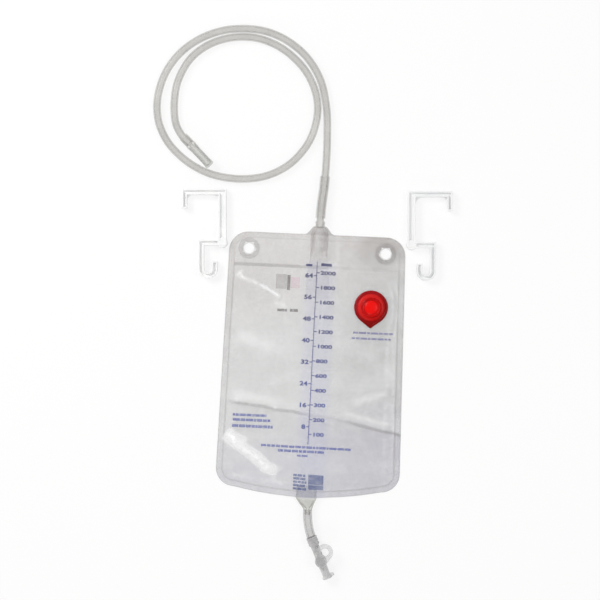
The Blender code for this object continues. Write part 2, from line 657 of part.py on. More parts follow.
def make_films():
    x, y = film_grid()
    front = film_sheet("front_sheet", x, y, film_underside(x, y))
    columns = [0, 1, 5, 9, 16, 23, 27, 31, x.shape[0] - 1]
    rows = [*range(0, 7), 12, 18, 24, *range(29, x.shape[1])]
    flat_x, flat_y = x[np.ix_(columns, rows)], y[np.ix_(columns, rows)]
    back = film_sheet("back_sheet", flat_x, flat_y, np.zeros_like(flat_x))
    for _, centre_x in eyelet_centres():
        for film in (front, back):
            hole = cylinder("eyelet_hole", EYELET_CLEARANCE_RADIUS, -0.002, 0.006, CLEAR_FILM, 24)
            hole.location = (centre_x, EYELET_Y, 0)
            combine(film, hole, "DIFFERENCE")
    vent_hole = cylinder("vent_hole", VENT_BARREL_RADIUS + GAP, 0.002, 0.012, CLEAR_FILM, 28)
    vent_hole.location = (*VENT_CENTRE, 0)
    combine(front, vent_hole, "DIFFERENCE")
    weld(front)
    weld(back)


def make_eyelets():
    """Clear reinforcing rings: a flange on the header and a short barrel through both films."""
    seat = WELD_LEVEL + FILM + GAP
    top = seat + EYELET_FLANGE_THICKNESS
    hole = EYELET_HOLE_RADIUS
    flange = EYELET_FLANGE_RADIUS
    middle = (hole + flange) / 2
    edge = EYELET_ROUNDING
    foot = GAP / 6
    profile = [
        (hole + edge, top - edge * 0.7), (middle, top), (flange - 2 * edge, top - edge),
        (flange, seat + edge), (flange - edge * 0.5, seat), (hole + EYELET_WALL, seat),
        (hole + EYELET_WALL, foot), (hole, foot), (hole, top - 1.7 * edge),
    ]
    for side, centre_x in eyelet_centres():
        ring = turned("eyelet_" + side, profile, CLEAR_MOULDING, 24)
        ring.location = (centre_x, EYELET_Y, 0)


def make_vent():
    """Vent ring through the front film, its filter disc and the red pull-off cap."""
    film_top = VENT_FILM_HEIGHT + FILM
    flange_top = VENT_FILM_HEIGHT - GAP
    flange_low = flange_top - VENT_FLANGE_THICKNESS
    barrel_top = film_top + VENT_BARREL_HEIGHT
    bore = VENT_BARREL_RADIUS - VENT_BARREL_WALL
    shelf = barrel_top - VENT_SHELF_DEPTH
    throat = bore - VENT_SHELF_WIDTH
    ring = turned("vent_ring", [
        (bore, barrel_top), (VENT_BARREL_RADIUS - 0.0004, barrel_top),
        (VENT_BARREL_RADIUS, barrel_top - 0.0004), (VENT_BARREL_RADIUS, flange_top),
        (VENT_FLANGE_RADIUS, flange_top), (VENT_FLANGE_RADIUS, flange_low),
        (throat, flange_low), (throat, shelf), (bore, shelf),
    ], CLEAR_MOULDING, 26)
    ring.location = (*VENT_CENTRE, 0)
    filter_disc = cylinder("vent_filter", bore - GAP, shelf + GAP, shelf + GAP + FILTER_THICKNESS,
                           FILTER_FELT, 28)
    filter_disc.location = (*VENT_CENTRE, 0)

    seat = film_top + GAP
    tangent = math.degrees(math.acos(CAP_RADIUS / CAP_TIP_REACH))
    outline = arc((0, 0), CAP_RADIUS, -90 + tangent, 270 - tangent, 26)
    outline += arc((0, CAP_TIP_RADIUS - CAP_TIP_REACH), CAP_TIP_RADIUS, 270 - tangent, 270 + tangent, 4)
    cap = plate("vent_cap", [outline], seat, seat + CAP_RIM_HEIGHT, RED_PLASTIC)
    cap.location = (*VENT_CENTRE, cap.location.z)
    round_edges(cap, CAP_RIM_BEVEL, 1, 60)
    crown = seat + CAP_DOME_HEIGHT
    rim = seat + CAP_RIM_HEIGHT
    skirt = CAP_DOME_RADIUS + CAP_SKIRT_WIDTH
    dome_foot = seat + 2 * GAP
    dome = turned("cap_dome", [
        (0.0, crown), (CAP_DOME_RADIUS * 0.45, crown - 0.0003), (CAP_DOME_RADIUS * 0.75, crown - 0.0009),
        (CAP_DOME_RADIUS * 0.93, crown - 0.0019), (CAP_DOME_RADIUS, crown - 0.0031),
        (CAP_DOME_RADIUS + GAP, rim + GAP / 3), (skirt, rim - GAP), (skirt, dome_foot), (0.0, dome_foot),
    ], RED_PLASTIC, 26)
    dome.location = (*VENT_CENTRE, 0)
    combine(cap, dome, "UNION")
    inside = VENT_BARREL_RADIUS + CAP_CLEARANCE
    roof = barrel_top + CAP_CLEARANCE
    hollow = turned("cap_hollow", [
        (0.0, roof), (inside - 2 * GAP, roof), (inside, roof - 2 * GAP), (inside, seat - 0.001),
        (0.0, seat - 0.001),
    ], RED_PLASTIC, 26)
    hollow.location = (*VENT_CENTRE, 0)
    combine(cap, hollow, "DIFFERENCE")
    weld(cap)


def tap_point(distance, height=TAP_AXIS_HEIGHT):
    """A point on the tap's axis, measured from the mouth of its socket."""
    turn = math.radians(TAP_TURN_DEG)
    x = TAP_ORIGIN[0] + distance * math.sin(turn)
    y = TAP_ORIGIN[1] - distance * math.cos(turn)
    return Vector((x, y, height))


def lie_along_tap(item):
    """Turn an upright piece so that its foot points down the tap's axis from the socket."""
    turn = math.radians(TAP_TURN_DEG)
    along = Vector((math.sin(turn), -math.cos(turn), 0))
    item.matrix_world = Matrix.Translation(tap_point(0)) @ along.to_track_quat("Z", "Y").to_matrix().to_4x4()


def make_outlet_tube():
    spigot = Vector((OUTLET_NECK_X, OUTLET_SHOULDER_Y - GAP, OUTLET_NECK_AXIS))
    end = tap_point(TAP_SEAT_DEPTH - GAP)
    reach = (end - spigot).length / 3
    turn = math.radians(TAP_TURN_DEG)
    first = spigot - Vector((0, 1, 0)) * reach
    last = end - Vector((math.sin(turn), -math.cos(turn), 0)) * reach
    path = []
    for t in np.linspace(0, 1, 9):
        path.append(spigot * (1 - t) ** 3 + first * 3 * t * (1 - t) ** 2
                    + last * 3 * t * t * (1 - t) + end * t ** 3)
    return round_tube("outlet_tube", path, OUTLET_TUBE_RADIUS, CLEAR_TUBE, OUTLET_TUBE_WALL, 6)


def make_tap():
    """Lever tap: a socket, barrel and spout in one body, and a plug with a finger-ring lever."""
    socket = OUTLET_TUBE_RADIUS + GAP
    collar = socket + TAP_SOCKET_WALL
    end = TAP_LENGTH
    body = turned("tap_body", [
        (0.0, 0.0), (TAP_LIP_RADIUS - TAP_EDGE, 0.0), (TAP_LIP_RADIUS, -TAP_EDGE),
        (TAP_LIP_RADIUS, -TAP_LIP_LENGTH), (TAP_BARREL_RADIUS - GAP, -1.5 * TAP_LIP_LENGTH),
        (TAP_BARREL_RADIUS, -end / 3), (TAP_BARREL_RADIUS, TAP_SOCKET_LENGTH + TAP_SHOULDER - end),
        (collar, TAP_SOCKET_LENGTH - end), (collar, TAP_EDGE - end),
        (collar - TAP_EDGE, -end), (0.0, -end),
    ], TAP_PLASTIC, 22)
    lie_along_tap(body)
    body.matrix_world = body.matrix_world @ Matrix.Translation((0, 0, end))
    boss_top = TAP_AXIS_HEIGHT + TAP_BARREL_RADIUS + TAP_BOSS_RISE
    pivot = tap_point(TAP_PIVOT_DISTANCE, 0)
    boss = cylinder("tap_boss", TAP_BOSS_RADIUS, TAP_BOSS_FOOT, boss_top, TAP_PLASTIC, 26)
    boss.location = pivot
    combine(body, boss, "UNION")
    foot = plate("spout_foot", [SPOUT_FOOT], TAP_AXIS_HEIGHT - SPOUT_FOOT_HALF_HEIGHT,
                 TAP_AXIS_HEIGHT + SPOUT_FOOT_HALF_HEIGHT, TAP_PLASTIC)
    turn = math.radians(TAP_TURN_DEG)
    tip = tap_point(TAP_LENGTH - SPOUT_FOOT_SETBACK)
    foot.location = (tip.x, tip.y, foot.location.z)
    foot.rotation_euler.z = turn
    combine(body, foot, "UNION")
    bore = turned("tap_bore", [
        (0.0, end + 0.002), (TAP_BORE_RADIUS, end + 0.002), (TAP_BORE_RADIUS, TAP_SEAT_DEPTH),
        (socket, TAP_SEAT_DEPTH), (socket, -0.002), (0.0, -0.002),
    ], TAP_PLASTIC, 20)
    lie_along_tap(bore)
    combine(body, bore, "DIFFERENCE")
    floor = TAP_BOSS_FOOT + TAP_FLOOR
    seat = cylinder("plug_seat", PLUG_RADIUS + GAP, floor, boss_top + 0.002, TAP_PLASTIC, 24)
    seat.location = pivot
    combine(body, seat, "DIFFERENCE")
    weld(body)

    lever_low = boss_top + GAP
    lever_high = lever_low + LEVER_THICKNESS
    spread = math.degrees(math.acos((PLUG_HEAD_RADIUS - RING_RADIUS) / RING_DISTANCE))
    outline = arc((0, 0), PLUG_HEAD_RADIUS, spread, 360 - spread, 12)
    outline += arc((RING_DISTANCE, 0), RING_RADIUS, -spread, spread, 18)
    hole = arc((RING_DISTANCE, 0), RING_HOLE_RADIUS, 0, 342, 19)
    plug = plate("tap_plug", [outline, hole], lever_low, lever_high, TAP_PLASTIC)
    plug.location = (pivot.x, pivot.y, plug.location.z)
    plug.rotation_euler.z = math.radians(RING_TURN_DEG)
    round_edges(plug, TAP_EDGE, 1)
    stem = cylinder("plug_stem", PLUG_RADIUS, floor + GAP, lever_low + LEVER_THICKNESS / 3, TAP_PLASTIC, 24)
    stem.location = pivot
    combine(plug, stem, "UNION")
    way = cylinder("plug_way", TAP_BORE_RADIUS, -0.010, 0.010, TAP_PLASTIC, 20)
    way.matrix_world = (Matrix.Translation(tap_point(TAP_PIVOT_DISTANCE))
                        @ Matrix.Rotation(turn, 4, "Z") @ Matrix.Rotation(math.pi / 2, 4, "Y"))
    combine(plug, way, "DIFFERENCE")
    weld(plug)


def connector_frame():
    """Placement whose +Z runs along the catheter connector towards its cap."""
    turn = math.radians(CONNECTOR_TURN_DEG)
    rise = math.radians(CONNECTOR_RISE_DEG)
    along = Vector((math.cos(turn) * math.cos(rise), math.sin(turn) * math.cos(rise), math.sin(rise)))
    return Matrix.Translation(CONNECTOR_START) @ along.to_track_quat("Z", "Y").to_matrix().to_4x4()


def make_tube():
    frame = connector_frame()
    inside = frame @ Vector((0, 0, CONNECTOR_SOCKET_DEPTH - GAP))
    before = frame @ Vector((0, 0, -0.004))
    first = (INLET_X, INLET_MOUTH_Y - TUBE_SEAT_DEPTH + GAP, NECK_AXIS_HEIGHT)
    mouth = (INLET_X, INLET_MOUTH_Y, NECK_AXIS_HEIGHT)
    route = [first, mouth] + TUBE_ROUTE + [tuple(before), tuple(inside)]
    round_tube("drainage_tube", smooth_path(route, TUBE_SAMPLES), TUBE_RADIUS, CLEAR_TUBE)

    fine = smooth_path(route, 1200)
    steps = np.concatenate([[0], np.cumsum(np.linalg.norm(np.diff(fine, axis=0), axis=1))])
    start = TUBE_SEAT_DEPTH + GUARD_START
    wanted = np.linspace(start, start + GUARD_LENGTH, 8)
    path = np.column_stack([np.interp(wanted, steps, fine[:, k]) for k in range(3)])
    outside = TUBE_RADIUS + GAP + GUARD_WALL
    round_tube("kink_guard", path, outside, CLEAR_TUBE, GUARD_WALL, 6)


def make_connector():
    """Stepped catheter connector in the tube's end, and the push-on cap over its nose."""
    socket = TUBE_RADIUS + GAP
    barrel = socket + CONNECTOR_WALL
    collar = barrel + CONNECTOR_COLLAR_RISE
    step = CONNECTOR_BARREL_LENGTH
    end = step + NOSE_LENGTH
    connector = turned("catheter_connector", [
        (CONNECTOR_BORE_RADIUS, end), (NOSE_TIP_RADIUS - 0.0003, end), (NOSE_TIP_RADIUS, end - 0.0006),
        (NOSE_BASE_RADIUS, step), (collar, step), (collar, step - CONNECTOR_COLLAR),
        (barrel, step - CONNECTOR_COLLAR - GAP), (barrel, 0.0), (socket, 0.0),
        (socket, CONNECTOR_SOCKET_DEPTH),
        (CONNECTOR_BORE_RADIUS, CONNECTOR_SOCKET_DEPTH),
    ], CLEAR_MOULDING, 24)
    connector.matrix_world = connector_frame()
    inner = NOSE_BASE_RADIUS + GAP
    outer = inner + END_CAP_WALL
    low = step + GAP
    roof = end + GAP
    top = roof + END_CAP_END
    cap = turned("connector_cap", [
        (0.0, top), (outer - END_CAP_EDGE, top), (outer, top - END_CAP_EDGE), (outer, low), (inner, low),
        (inner, roof), (0.0, roof),
    ], TAP_PLASTIC, 24)
    cap.matrix_world = connector_frame()


def hanger_path():
    """Centre line of a hanger from lip to hook end, and the width of each straight stretch."""
    bend = (HANGER_JOG - HOOK_BEND_RADIUS, -HANGER_POST - HANGER_DROP)
    points = [(HANGER_REACH, -HANGER_LIP), (HANGER_REACH, 0.0), (0.0, 0.0), (0.0, -HANGER_POST),
              (HANGER_JOG, -HANGER_POST)]
    curve = arc(bend, HOOK_BEND_RADIUS, 0, -180, 9)
    points += curve + [(bend[0] - HOOK_BEND_RADIUS, bend[1] + HOOK_RETURN)]
    widths = [LIP_WIDTH, ARM_WIDTH, POST_WIDTH] + [HOOK_WIDTH] * (len(curve) + 2)
    return np.array(points), np.array(widths)


def ribbon(inset):
    """Outline of a hanger drawn in by an inset: offset lines that meet at each corner."""
    points, widths = hanger_path()
    runs = np.diff(points, axis=0)
    runs = runs / np.linalg.norm(runs, axis=1)[:, None]
    points[0] = points[0] + runs[0] * inset
    points[-1] = points[-1] - runs[-1] * inset
    normals = np.column_stack([-runs[:, 1], runs[:, 0]])
    sides = []
    for side in (1, -1):
        offsets = side * (widths / 2 - inset)
        line = [points[0] + normals[0] * offsets[0]]
        for i in range(len(runs) - 1):
            here, there = normals[i], normals[i + 1]
            corner = np.linalg.lstsq(np.array([here, there]), [offsets[i], offsets[i + 1]], rcond=None)[0]
            line.append(points[i + 1] + corner)
        line.append(points[-1] + normals[-1] * offsets[-1])
        sides.append(line)
    return sides[0] + sides[1][::-1]


def make_hanger(side, location, sign):
    """A moulded bed hanger: rail hook above, bag hook below, rims on both faces of a web."""
    turn = math.radians(HANGER_TURN_DEG)

    def slab(name, inset, bottom, top):
        loop = [(sign * x, y) for x, y in ribbon(inset)]
        shape = plate(name, [loop], bottom, top, WHITE_PLASTIC)
        shape.location = (*location, shape.location.z)
        shape.rotation_euler.z = turn
        return shape

    hanger = slab("hanger_" + side, 0.0, 0.0, HANGER_DEPTH)
    knuckle = cylinder("hanger_knuckle", KNUCKLE_RADIUS, GAP, HANGER_DEPTH - GAP, WHITE_PLASTIC, 24)
    corner = Matrix.Rotation(turn, 4, "Z") @ Vector((0.0, -HANGER_POST, 0.0))
    knuckle.location = (location[0] + corner.x, location[1] + corner.y, 0)
    combine(hanger, knuckle, "UNION")
    pocket = (HANGER_DEPTH - HANGER_WEB) / 2
    for bottom, top in ((-POCKET_OVERRUN, pocket), (HANGER_DEPTH - pocket, HANGER_DEPTH + POCKET_OVERRUN)):
        combine(hanger, slab("hanger_pocket", HANGER_RIM, bottom, top), "DIFFERENCE")
    weld(hanger)


make_films()
make_eyelets()
make_inlet_port()
make_non_return_sleeve()
make_vent()
make_outlet_port()
make_outlet_tube()
make_tap()
make_tube()
make_connector()
make_hanger("right", HANGER_RIGHT, 1)
make_hanger("left", HANGER_LEFT, -1)
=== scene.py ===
"""Looks of a urine drainage bag that lies flat, printed side up, with its tube and its bed hangers."""
import math
from functools import reduce

import bpy
import numpy as np
from mathutils import Matrix, Vector


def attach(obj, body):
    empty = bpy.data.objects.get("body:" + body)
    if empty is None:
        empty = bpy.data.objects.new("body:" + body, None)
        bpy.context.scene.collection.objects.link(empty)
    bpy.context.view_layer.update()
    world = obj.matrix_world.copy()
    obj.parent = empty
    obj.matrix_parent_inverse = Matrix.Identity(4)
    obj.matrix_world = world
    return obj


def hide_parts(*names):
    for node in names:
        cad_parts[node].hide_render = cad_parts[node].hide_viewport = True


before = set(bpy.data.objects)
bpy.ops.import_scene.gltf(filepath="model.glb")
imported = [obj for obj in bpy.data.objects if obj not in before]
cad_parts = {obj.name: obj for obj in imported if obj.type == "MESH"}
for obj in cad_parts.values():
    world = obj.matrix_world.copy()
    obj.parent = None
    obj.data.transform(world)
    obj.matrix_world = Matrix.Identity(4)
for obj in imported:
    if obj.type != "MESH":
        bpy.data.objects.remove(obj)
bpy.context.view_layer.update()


# Table, lamps and camera
# A pale table under soft studio light.  The camera looks straight down and is turned by 2.5 degrees,
# so that the bag leans as it lies.  The table shows white to the eye and still keeps a light shadow.

WHITE = (1.0, 1.0, 1.0, 1.0)
LEAN = math.radians(2.5)        # of the camera, and of the hangers


def arithmetic(operation, swapped=False):
    """A method that joins a value and another number by a Math node, in the other order if swapped."""
    def apply(value, other):
        pair = (other, value) if swapped else (value, other)
        return value.nodes.node("ShaderNodeMath", dict(enumerate(pair)), operation=operation)
    return apply


class Value:
    """A number or colour on its way through a material; arithmetic on it adds Math nodes."""

    __add__ = __radd__ = arithmetic("ADD")
    __sub__ = arithmetic("SUBTRACT")
    __rsub__ = arithmetic("SUBTRACT", True)
    __mul__ = __rmul__ = arithmetic("MULTIPLY")
    __truediv__ = arithmetic("DIVIDE")
    __pow__ = arithmetic("POWER")
    most = arithmetic("MAXIMUM")
    least = arithmetic("MINIMUM")

    def __init__(self, nodes, socket):
        self.nodes = nodes
        self.socket = socket

    def __abs__(self):
        return self.nodes.node("ShaderNodeMath", {0: self}, operation="ABSOLUTE")

    def out(self, name):
        """Another output of the same node."""
        return Value(self.nodes, self.socket.node.outputs[name])

    def step(self, start, end, low=0.0, high=1.0):
        """Smooth step from low, where this value is start, to high, where it is end."""
        return self.nodes.node("ShaderNodeMapRange", {0: self, 1: start, 2: end, 3: low, 4: high},
                               interpolation_type="SMOOTHSTEP")


class Nodes:
    """A node tree under way."""

    def __init__(self, tree):
        self.tree = tree

    def node(self, kind, sockets=(), **settings):
        """Any node of a kind: its settings first, then the values or links of its sockets."""
        made = self.tree.nodes.new(kind)
        for key, setting in settings.items():
            setattr(made, key, setting)
        for key, value in dict(sockets).items():
            if isinstance(value, Value):
                self.tree.links.new(value.socket, made.inputs[key])
            else:
                made.inputs[key].default_value = value
        return Value(self, made.outputs[0])

    def show(self, output, share, first, second):
        """A share from one shader to another, as what the material or the world shows."""
        mixed = self.node("ShaderNodeMixShader", {0: share, 1: first, 2: second})
        self.tree.links.new(mixed.socket, self.tree.nodes[output].inputs["Surface"])


class Finish(Nodes):
    """A procedural material on the object's own coordinates."""

    def __init__(self, name, colour, roughness, **numbers):
        self.material = bpy.data.materials.new(name)
        self.material.use_nodes = True
        super().__init__(self.material.node_tree)
        self.shader = self.tree.nodes["Principled BSDF"]
        numbers.update(Base_Color=(*colour, 1.0), Roughness=roughness)
        for socket, number in numbers.items():
            self.shader.inputs[socket.replace("_", " ")].default_value = number
        self.place = self.node("ShaderNodeTexCoord").out("Object")

    def axes(self):
        """The object coordinates along X and Y, in metres."""
        parts = self.node("ShaderNodeSeparateXYZ", {0: self.place})
        return parts, parts.out("Y")

    def noise(self, scale, detail=3.0, roughness=0.5, stretch=None):
        """Noise of about the given number of waves in a metre, from 0 to 1, stretched if asked."""
        where = self.place
        if stretch:
            where = self.node("ShaderNodeMapping", {"Vector": where, "Scale": stretch[:3],
                                                    "Rotation": (0, 0, math.radians(stretch[3]))})
        return self.node("ShaderNodeTexNoise", {"Vector": where, "Scale": scale, "Detail": detail,
                                                "Roughness": roughness})

    def mix(self, share, *colours):
        """Blend of two colours; share is 0 for the first one and 1 for the second."""
        first, second = (c if isinstance(c, Value) else (*c, 1.0) for c in colours)
        return self.node("ShaderNodeMix", {0: share, 6: first, 7: second}, data_type="RGBA").out(2)

    def edge_on(self, blend=0.5):
        """0 where the surface faces the eye, 1 where it is seen edge on, as a clear wall thickens."""
        return self.node("ShaderNodeLayerWeight", {"Blend": blend}).out("Facing")

    def feed(self, socket, value):
        self.tree.links.new(value.socket, self.shader.inputs[socket])

    def fed(self, socket):
        """What feeds a socket so far."""
        return Value(self, self.shader.inputs[socket].links[0].from_socket)

    def lay(self, *tints):
        """Lay other colours over the Base Color so far, each by its share."""
        for share, tint in tints:
            self.feed("Base Color", self.mix(share, self.fed("Base Color"), tint))

    def thicken(self, more):
        """Add to the Alpha so far."""
        self.feed("Alpha", (self.fed("Alpha") + more).least(1.0).most(0.0))

    def bump(self, height, distance, strength=1.0):
        """Raise the surface by a height of 0 to 1 times the distance in metres."""
        self.feed("Normal", self.node("ShaderNodeBump", {"Height": height, "Distance": distance,
                                                         "Strength": strength}))


def add_item(name, content):
    """Put a mesh, lamp, camera or curve into the scene."""
    item = bpy.data.objects.new(name, content)
    bpy.context.scene.collection.objects.link(item)
    return item


def add_mesh(name, points, faces, finish, body=None, replaces=()):
    """A mesh of points and faces in its finish, which rides on a body."""
    mesh = bpy.data.meshes.new(name)
    mesh.from_pydata(np.asarray(points).tolist(), [], faces)
    mesh.update()
    mesh.materials.append(finish.material)
    item = add_item(name, mesh)
    if body:
        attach(item, body)
    if replaces:
        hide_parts(*replaces)
    return item


# The table is plain paint under a share of even white, wherever the eye or a reflection meets it.
EVEN_SHARE = 0.78
TABLE_HALF = 12.0
TABLE_LEVEL = -0.0002
paint = Finish("table_paint", (0.93, 0.93, 0.925), 0.6)
paint.feed("Roughness", paint.noise(9.0) * 0.1 + 0.55)
path = paint.node("ShaderNodeLightPath")
seen = path.most(path.out("Is Glossy Ray")).most(path.out("Is Transmission Ray"))
paint.show("Material Output", seen * EVEN_SHARE, Value(paint, paint.shader.outputs[0]),
           paint.node("ShaderNodeEmission", {0: WHITE, 1: 1.0}))
table_plan = [(x * TABLE_HALF, y * TABLE_HALF, TABLE_LEVEL) for x, y in ((-1, -1), (1, -1), (1, 1), (-1, 1))]
table = add_mesh("table_top", table_plan, [(0, 1, 2, 3)], paint)

# Three square soft boxes point at the middle of the picture.
MIDDLE = Vector((-0.0171, 0.0733, 0.004))
for name, place, size, watts in (("soft_box_left", (-0.95, 0.75, 1.05), 0.55, 12.0),
                                 ("soft_box_right", (0.90, 0.10, 1.30), 0.70, 5.5),
                                 ("soft_box_foot", (-0.25, -1.25, 0.80), 0.45, 3.5)):
    lamp = bpy.data.lights.new(name, "AREA")
    lamp.shape = "SQUARE"
    lamp.size = size
    lamp.energy = watts
    soft_box = add_item(name, lamp)
    soft_box.location = place
    soft_box.rotation_euler = (MIDDLE - Vector(place)).to_track_quat("-Z", "Y").to_euler()

room = bpy.data.worlds.new("room")
room.use_nodes = True
room_nodes = Nodes(room.node_tree)
room_light = room.node_tree.nodes["Background"]
room_light.inputs["Color"].default_value = WHITE
room_light.inputs["Strength"].default_value = 0.46
room_nodes.show("World Output", room_nodes.node("ShaderNodeLightPath"),
                Value(room_nodes, room_light.outputs[0]),
                room_nodes.node("ShaderNodeBackground", {0: WHITE, 1: 1.0}))
bpy.context.scene.world = room

lens = bpy.data.cameras.new("camera")
lens.lens = 100.0
lens.sensor_width = 36.0
PHOTO_WIDTH = 0.672             # metres that the picture spans on the table
camera = add_item("camera", lens)
camera.location = (*MIDDLE.xy, MIDDLE.z + PHOTO_WIDTH * lens.lens / lens.sensor_width)
camera.rotation_euler = (0.0, 0.0, LEAN)
bpy.context.scene.camera = camera
bpy.context.scene.view_settings.view_transform = "Standard"
bpy.context.scene.cycles.transparent_max_bounces = 32   # up to 16 clear surfaces lie over one another


# Drainage tube
# Soft clear PVC tube, 8.5 mm outside with a 1.15 mm wall, just under a metre long.  It leaves the inlet
# port, goes once round in a wide loop and once more just inside it, and ends in the catheter connector.

MM = 0.001                      # routes, profiles and print are listed in millimetres
TUBE_RADIUS = 0.00425
TUBE_BORE = 0.0031
INLET_X = 0.0018
TUBE_REST = 4.5
TUBE_ROUTE = [
    (1.8, 154.8, 6.4), (1.8, 162, 6.4), (1.8, 169, 6.2), (2.8, 184.5, 6.2), (4.4, 202.1, 6.2),
    (5.6, 227.9, 5.8), (5.4, 259.3, 4.7), *[(x, y, TUBE_REST) for x, y in (
        (3.2, 289.4), (-4.8, 320), (-20.9, 344.7), (-42.7, 362), (-66.1, 371.6), (-91.1, 374.1),
        (-117.3, 370.7), (-142.3, 360.2), (-163.6, 343.2), (-178.8, 320.3), (-186.1, 293.2), (-184.5, 267.9),
        (-174.6, 246.2), (-159.2, 229.6), (-139.7, 216.6), (-115.8, 208.2), (-86.8, 206), (-58.7, 211.3),
        (-33.9, 225.9), (-15.4, 249.4), (-7.3, 275.3), (-8, 299.8), (-17.2, 322.6), (-31.9, 340.6),
        (-52.6, 355.6), (-77.6, 364.1), (-104.7, 363.8), (-130.5, 355), (-151.2, 338.1), (-163.9, 313.6),
        (-167.3, 289.2))],
    (-165.2, 266.8, 4.6), (-158.23, 252.78, 5.44), (-147.84, 242.57, 7.49),
]


def turns(count, start=0.0):
    """Equal steps of one full turn."""
    return np.linspace(start, start + 2 * math.pi, count, endpoint=False)


def at_share(values, share):
    """Rows of values read at shares of their run, straight between each two."""
    index = np.asarray(share) * (len(values) - 1)
    return np.column_stack([np.interp(index, np.arange(len(values)), values[:, k]) for k in range(3)])


def smooth_path(points, count):
    """Catmull-Rom curve through the points, read again at equal steps of its length."""
    knots = np.vstack([2 * points[0] - points[1], points, 2 * points[-1] - points[-2]])
    t = np.linspace(0, 1, 24, endpoint=False)[None, :, None]
    a, b, c, d = (knots[i:len(knots) - 3 + i, None, :] for i in range(4))
    fine = 0.5 * (2 * b + (c - a) * t + (2 * a - 5 * b + 4 * c - d) * t ** 2
                  + (3 * b - a - 3 * c + d) * t ** 3)
    fine = np.vstack([fine.reshape(-1, 3), points[-1:]])
    walked = np.concatenate([[0], np.cumsum(np.linalg.norm(np.diff(fine, axis=0), axis=1))])
    stops = np.linspace(0, walked[-1], count)
    return np.column_stack([np.interp(stops, walked, fine[:, k]) for k in range(3)]), walked[-1]


def add_piece(name, points, faces, finish, body, replaces=(), angle_deg=32):
    """Make a closed piece from points and faces; its faces are turned outwards by its volume's sign."""
    points = np.asarray(points).reshape(-1, 3)
    volume = 0.0
    for corner in (points[group] for group in faces):
        for i in range(1, corner.shape[1] - 1):
            volume += np.einsum("ij,ij->", corner[:, 0], np.cross(corner[:, i], corner[:, i + 1]))
    rows = [row for group in faces for row in (group[:, ::-1] if volume < 0 else group).tolist()]
    item = add_mesh(name, points, rows, finish, body, replaces)
    item.data.shade_smooth()
    item.data.set_sharp_from_angle(angle=math.radians(angle_deg))
    return item


def grid_faces(rows, count, around=True, closed=False):
    """Quads between rows of points; around makes each row a ring, closed joins the last row to the first."""
    i, j = np.meshgrid(np.arange(rows if closed else rows - 1), np.arange(count if around else count - 1),
                       indexing="ij")
    k, n = (i + 1) % rows, (j + 1) % count
    return np.stack([i * count + j, k * count + j, k * count + n, i * count + n], -1).reshape(-1, 4)


def carry(path, profile, count):
    """Rings of points round a path: profile gives (radius, share of the path) for each ring."""
    along = np.gradient(path, axis=0)
    along /= np.linalg.norm(along, axis=1)[:, None]
    side = np.cross(along, (0.0, 0.0, 1.0))
    side /= np.linalg.norm(side, axis=1)[:, None]
    turn = turns(count)[None, :, None]
    radius, share = np.array(profile).T
    centre, side, up = (at_share(values, share)[:, None, :] for values in (path, side, np.cross(side, along)))
    return centre + radius[:, None, None] * (np.cos(turn) * side + np.sin(turn) * up)


def add_hose(name, path, outer, inner, finish, replaces, count=24, rim=0.0002):
    """A hollow tube along a path: out along the outer wall, back along the bore, with eased rims."""
    shares = np.linspace(0, 1, len(path))
    wall = [(outer - rim, 0.0)] + [(outer, s) for s in shares] + [(outer - rim, 1.0)]
    bore = [(inner + rim, 1.0)] + [(inner, s) for s in shares[::-1]] + [(inner + rim, 0.0)]
    rings = carry(path, wall + bore, count)
    return add_piece(name, rings, [grid_faces(len(rings), count, closed=True)], finish, "bag",
                     replaces, 60)


def make_clear_finish(name, colour, face_on, edge_on, roughness=0.16, power=2.0):
    """Clear PVC: faint where it faces the eye, denser where its wall is seen edge on; slightly dusty."""
    clear = Finish(name, colour, roughness, Specular_IOR_Level=0.6, IOR=1.5)
    cloud = clear.noise(55.0, 2.0)
    clear.feed("Base Color", clear.mix(cloud.step(0.35, 0.75), colour, [c * 0.85 for c in colour]))
    dense = clear.edge_on() ** power * (edge_on - face_on) + face_on
    clear.feed("Alpha", (dense + (cloud - 0.5) * 0.05).least(1.0).most(0.0))
    clear.feed("Roughness", clear.noise(240.0, 2.0) * 0.14 + (roughness - 0.04))
    clear.bump(clear.noise(90.0, 2.0), 0.0005, 0.3)
    return clear


tube_finish = make_clear_finish("clear_tube", (0.25, 0.228, 0.178), 0.140, 0.62, 0.16, 1.9)
tube_path, tube_length = smooth_path(np.array(TUBE_ROUTE) * MM, 520)
tube = add_hose("drainage_tube_clear", tube_path, TUBE_RADIUS, TUBE_BORE, tube_finish, ["drainage_tube"])


# Kink guard
# A short sleeve of wider PVC tube pushed over the drainage tube above the inlet, so that it can't fold.
# It is 47 mm long, with a soft bead round each end.

GUARD_START = 0.0110            # along the tube
GUARD_LENGTH = 0.0470
GUARD_RADIUS = 0.00555
GUARD_BORE = 0.00455

guard_finish = make_clear_finish("clear_guard", (0.27, 0.235, 0.205), 0.012, 0.40, 0.16, 1.6)
guard_x, guard_y = guard_finish.axes()
# Painted shade: the guard is painted denser on its right side.
guard_finish.thicken((guard_x - INLET_X - (guard_y - 0.169) * 0.08).step(-0.001, 0.004) * 0.03)
guard_path = at_share(tube_path, np.linspace(GUARD_START, GUARD_START + GUARD_LENGTH, 48) / tube_length)
guard = add_hose("kink_guard_clear", guard_path, GUARD_RADIUS, GUARD_BORE, guard_finish, ["kink_guard"],
                 28, 0.0003)


# Catheter connector and its cap
# A stepped clear connector pushed into the end of the tube: a socket with a ribbed collar and a tapered
# nose.  A push-on cap of natural polypropylene covers the nose, and pulls off along it.

CONNECTOR_START = (-0.1554, 0.2500, 0.0060)
CONNECTOR_ALONG = Vector((0.706309, -0.694088, 0.139173))
BARREL_END = 14.5
NOSE_END = 42.5
AXIS_GAP = 0.00002              # radius that stands for a point on the axis


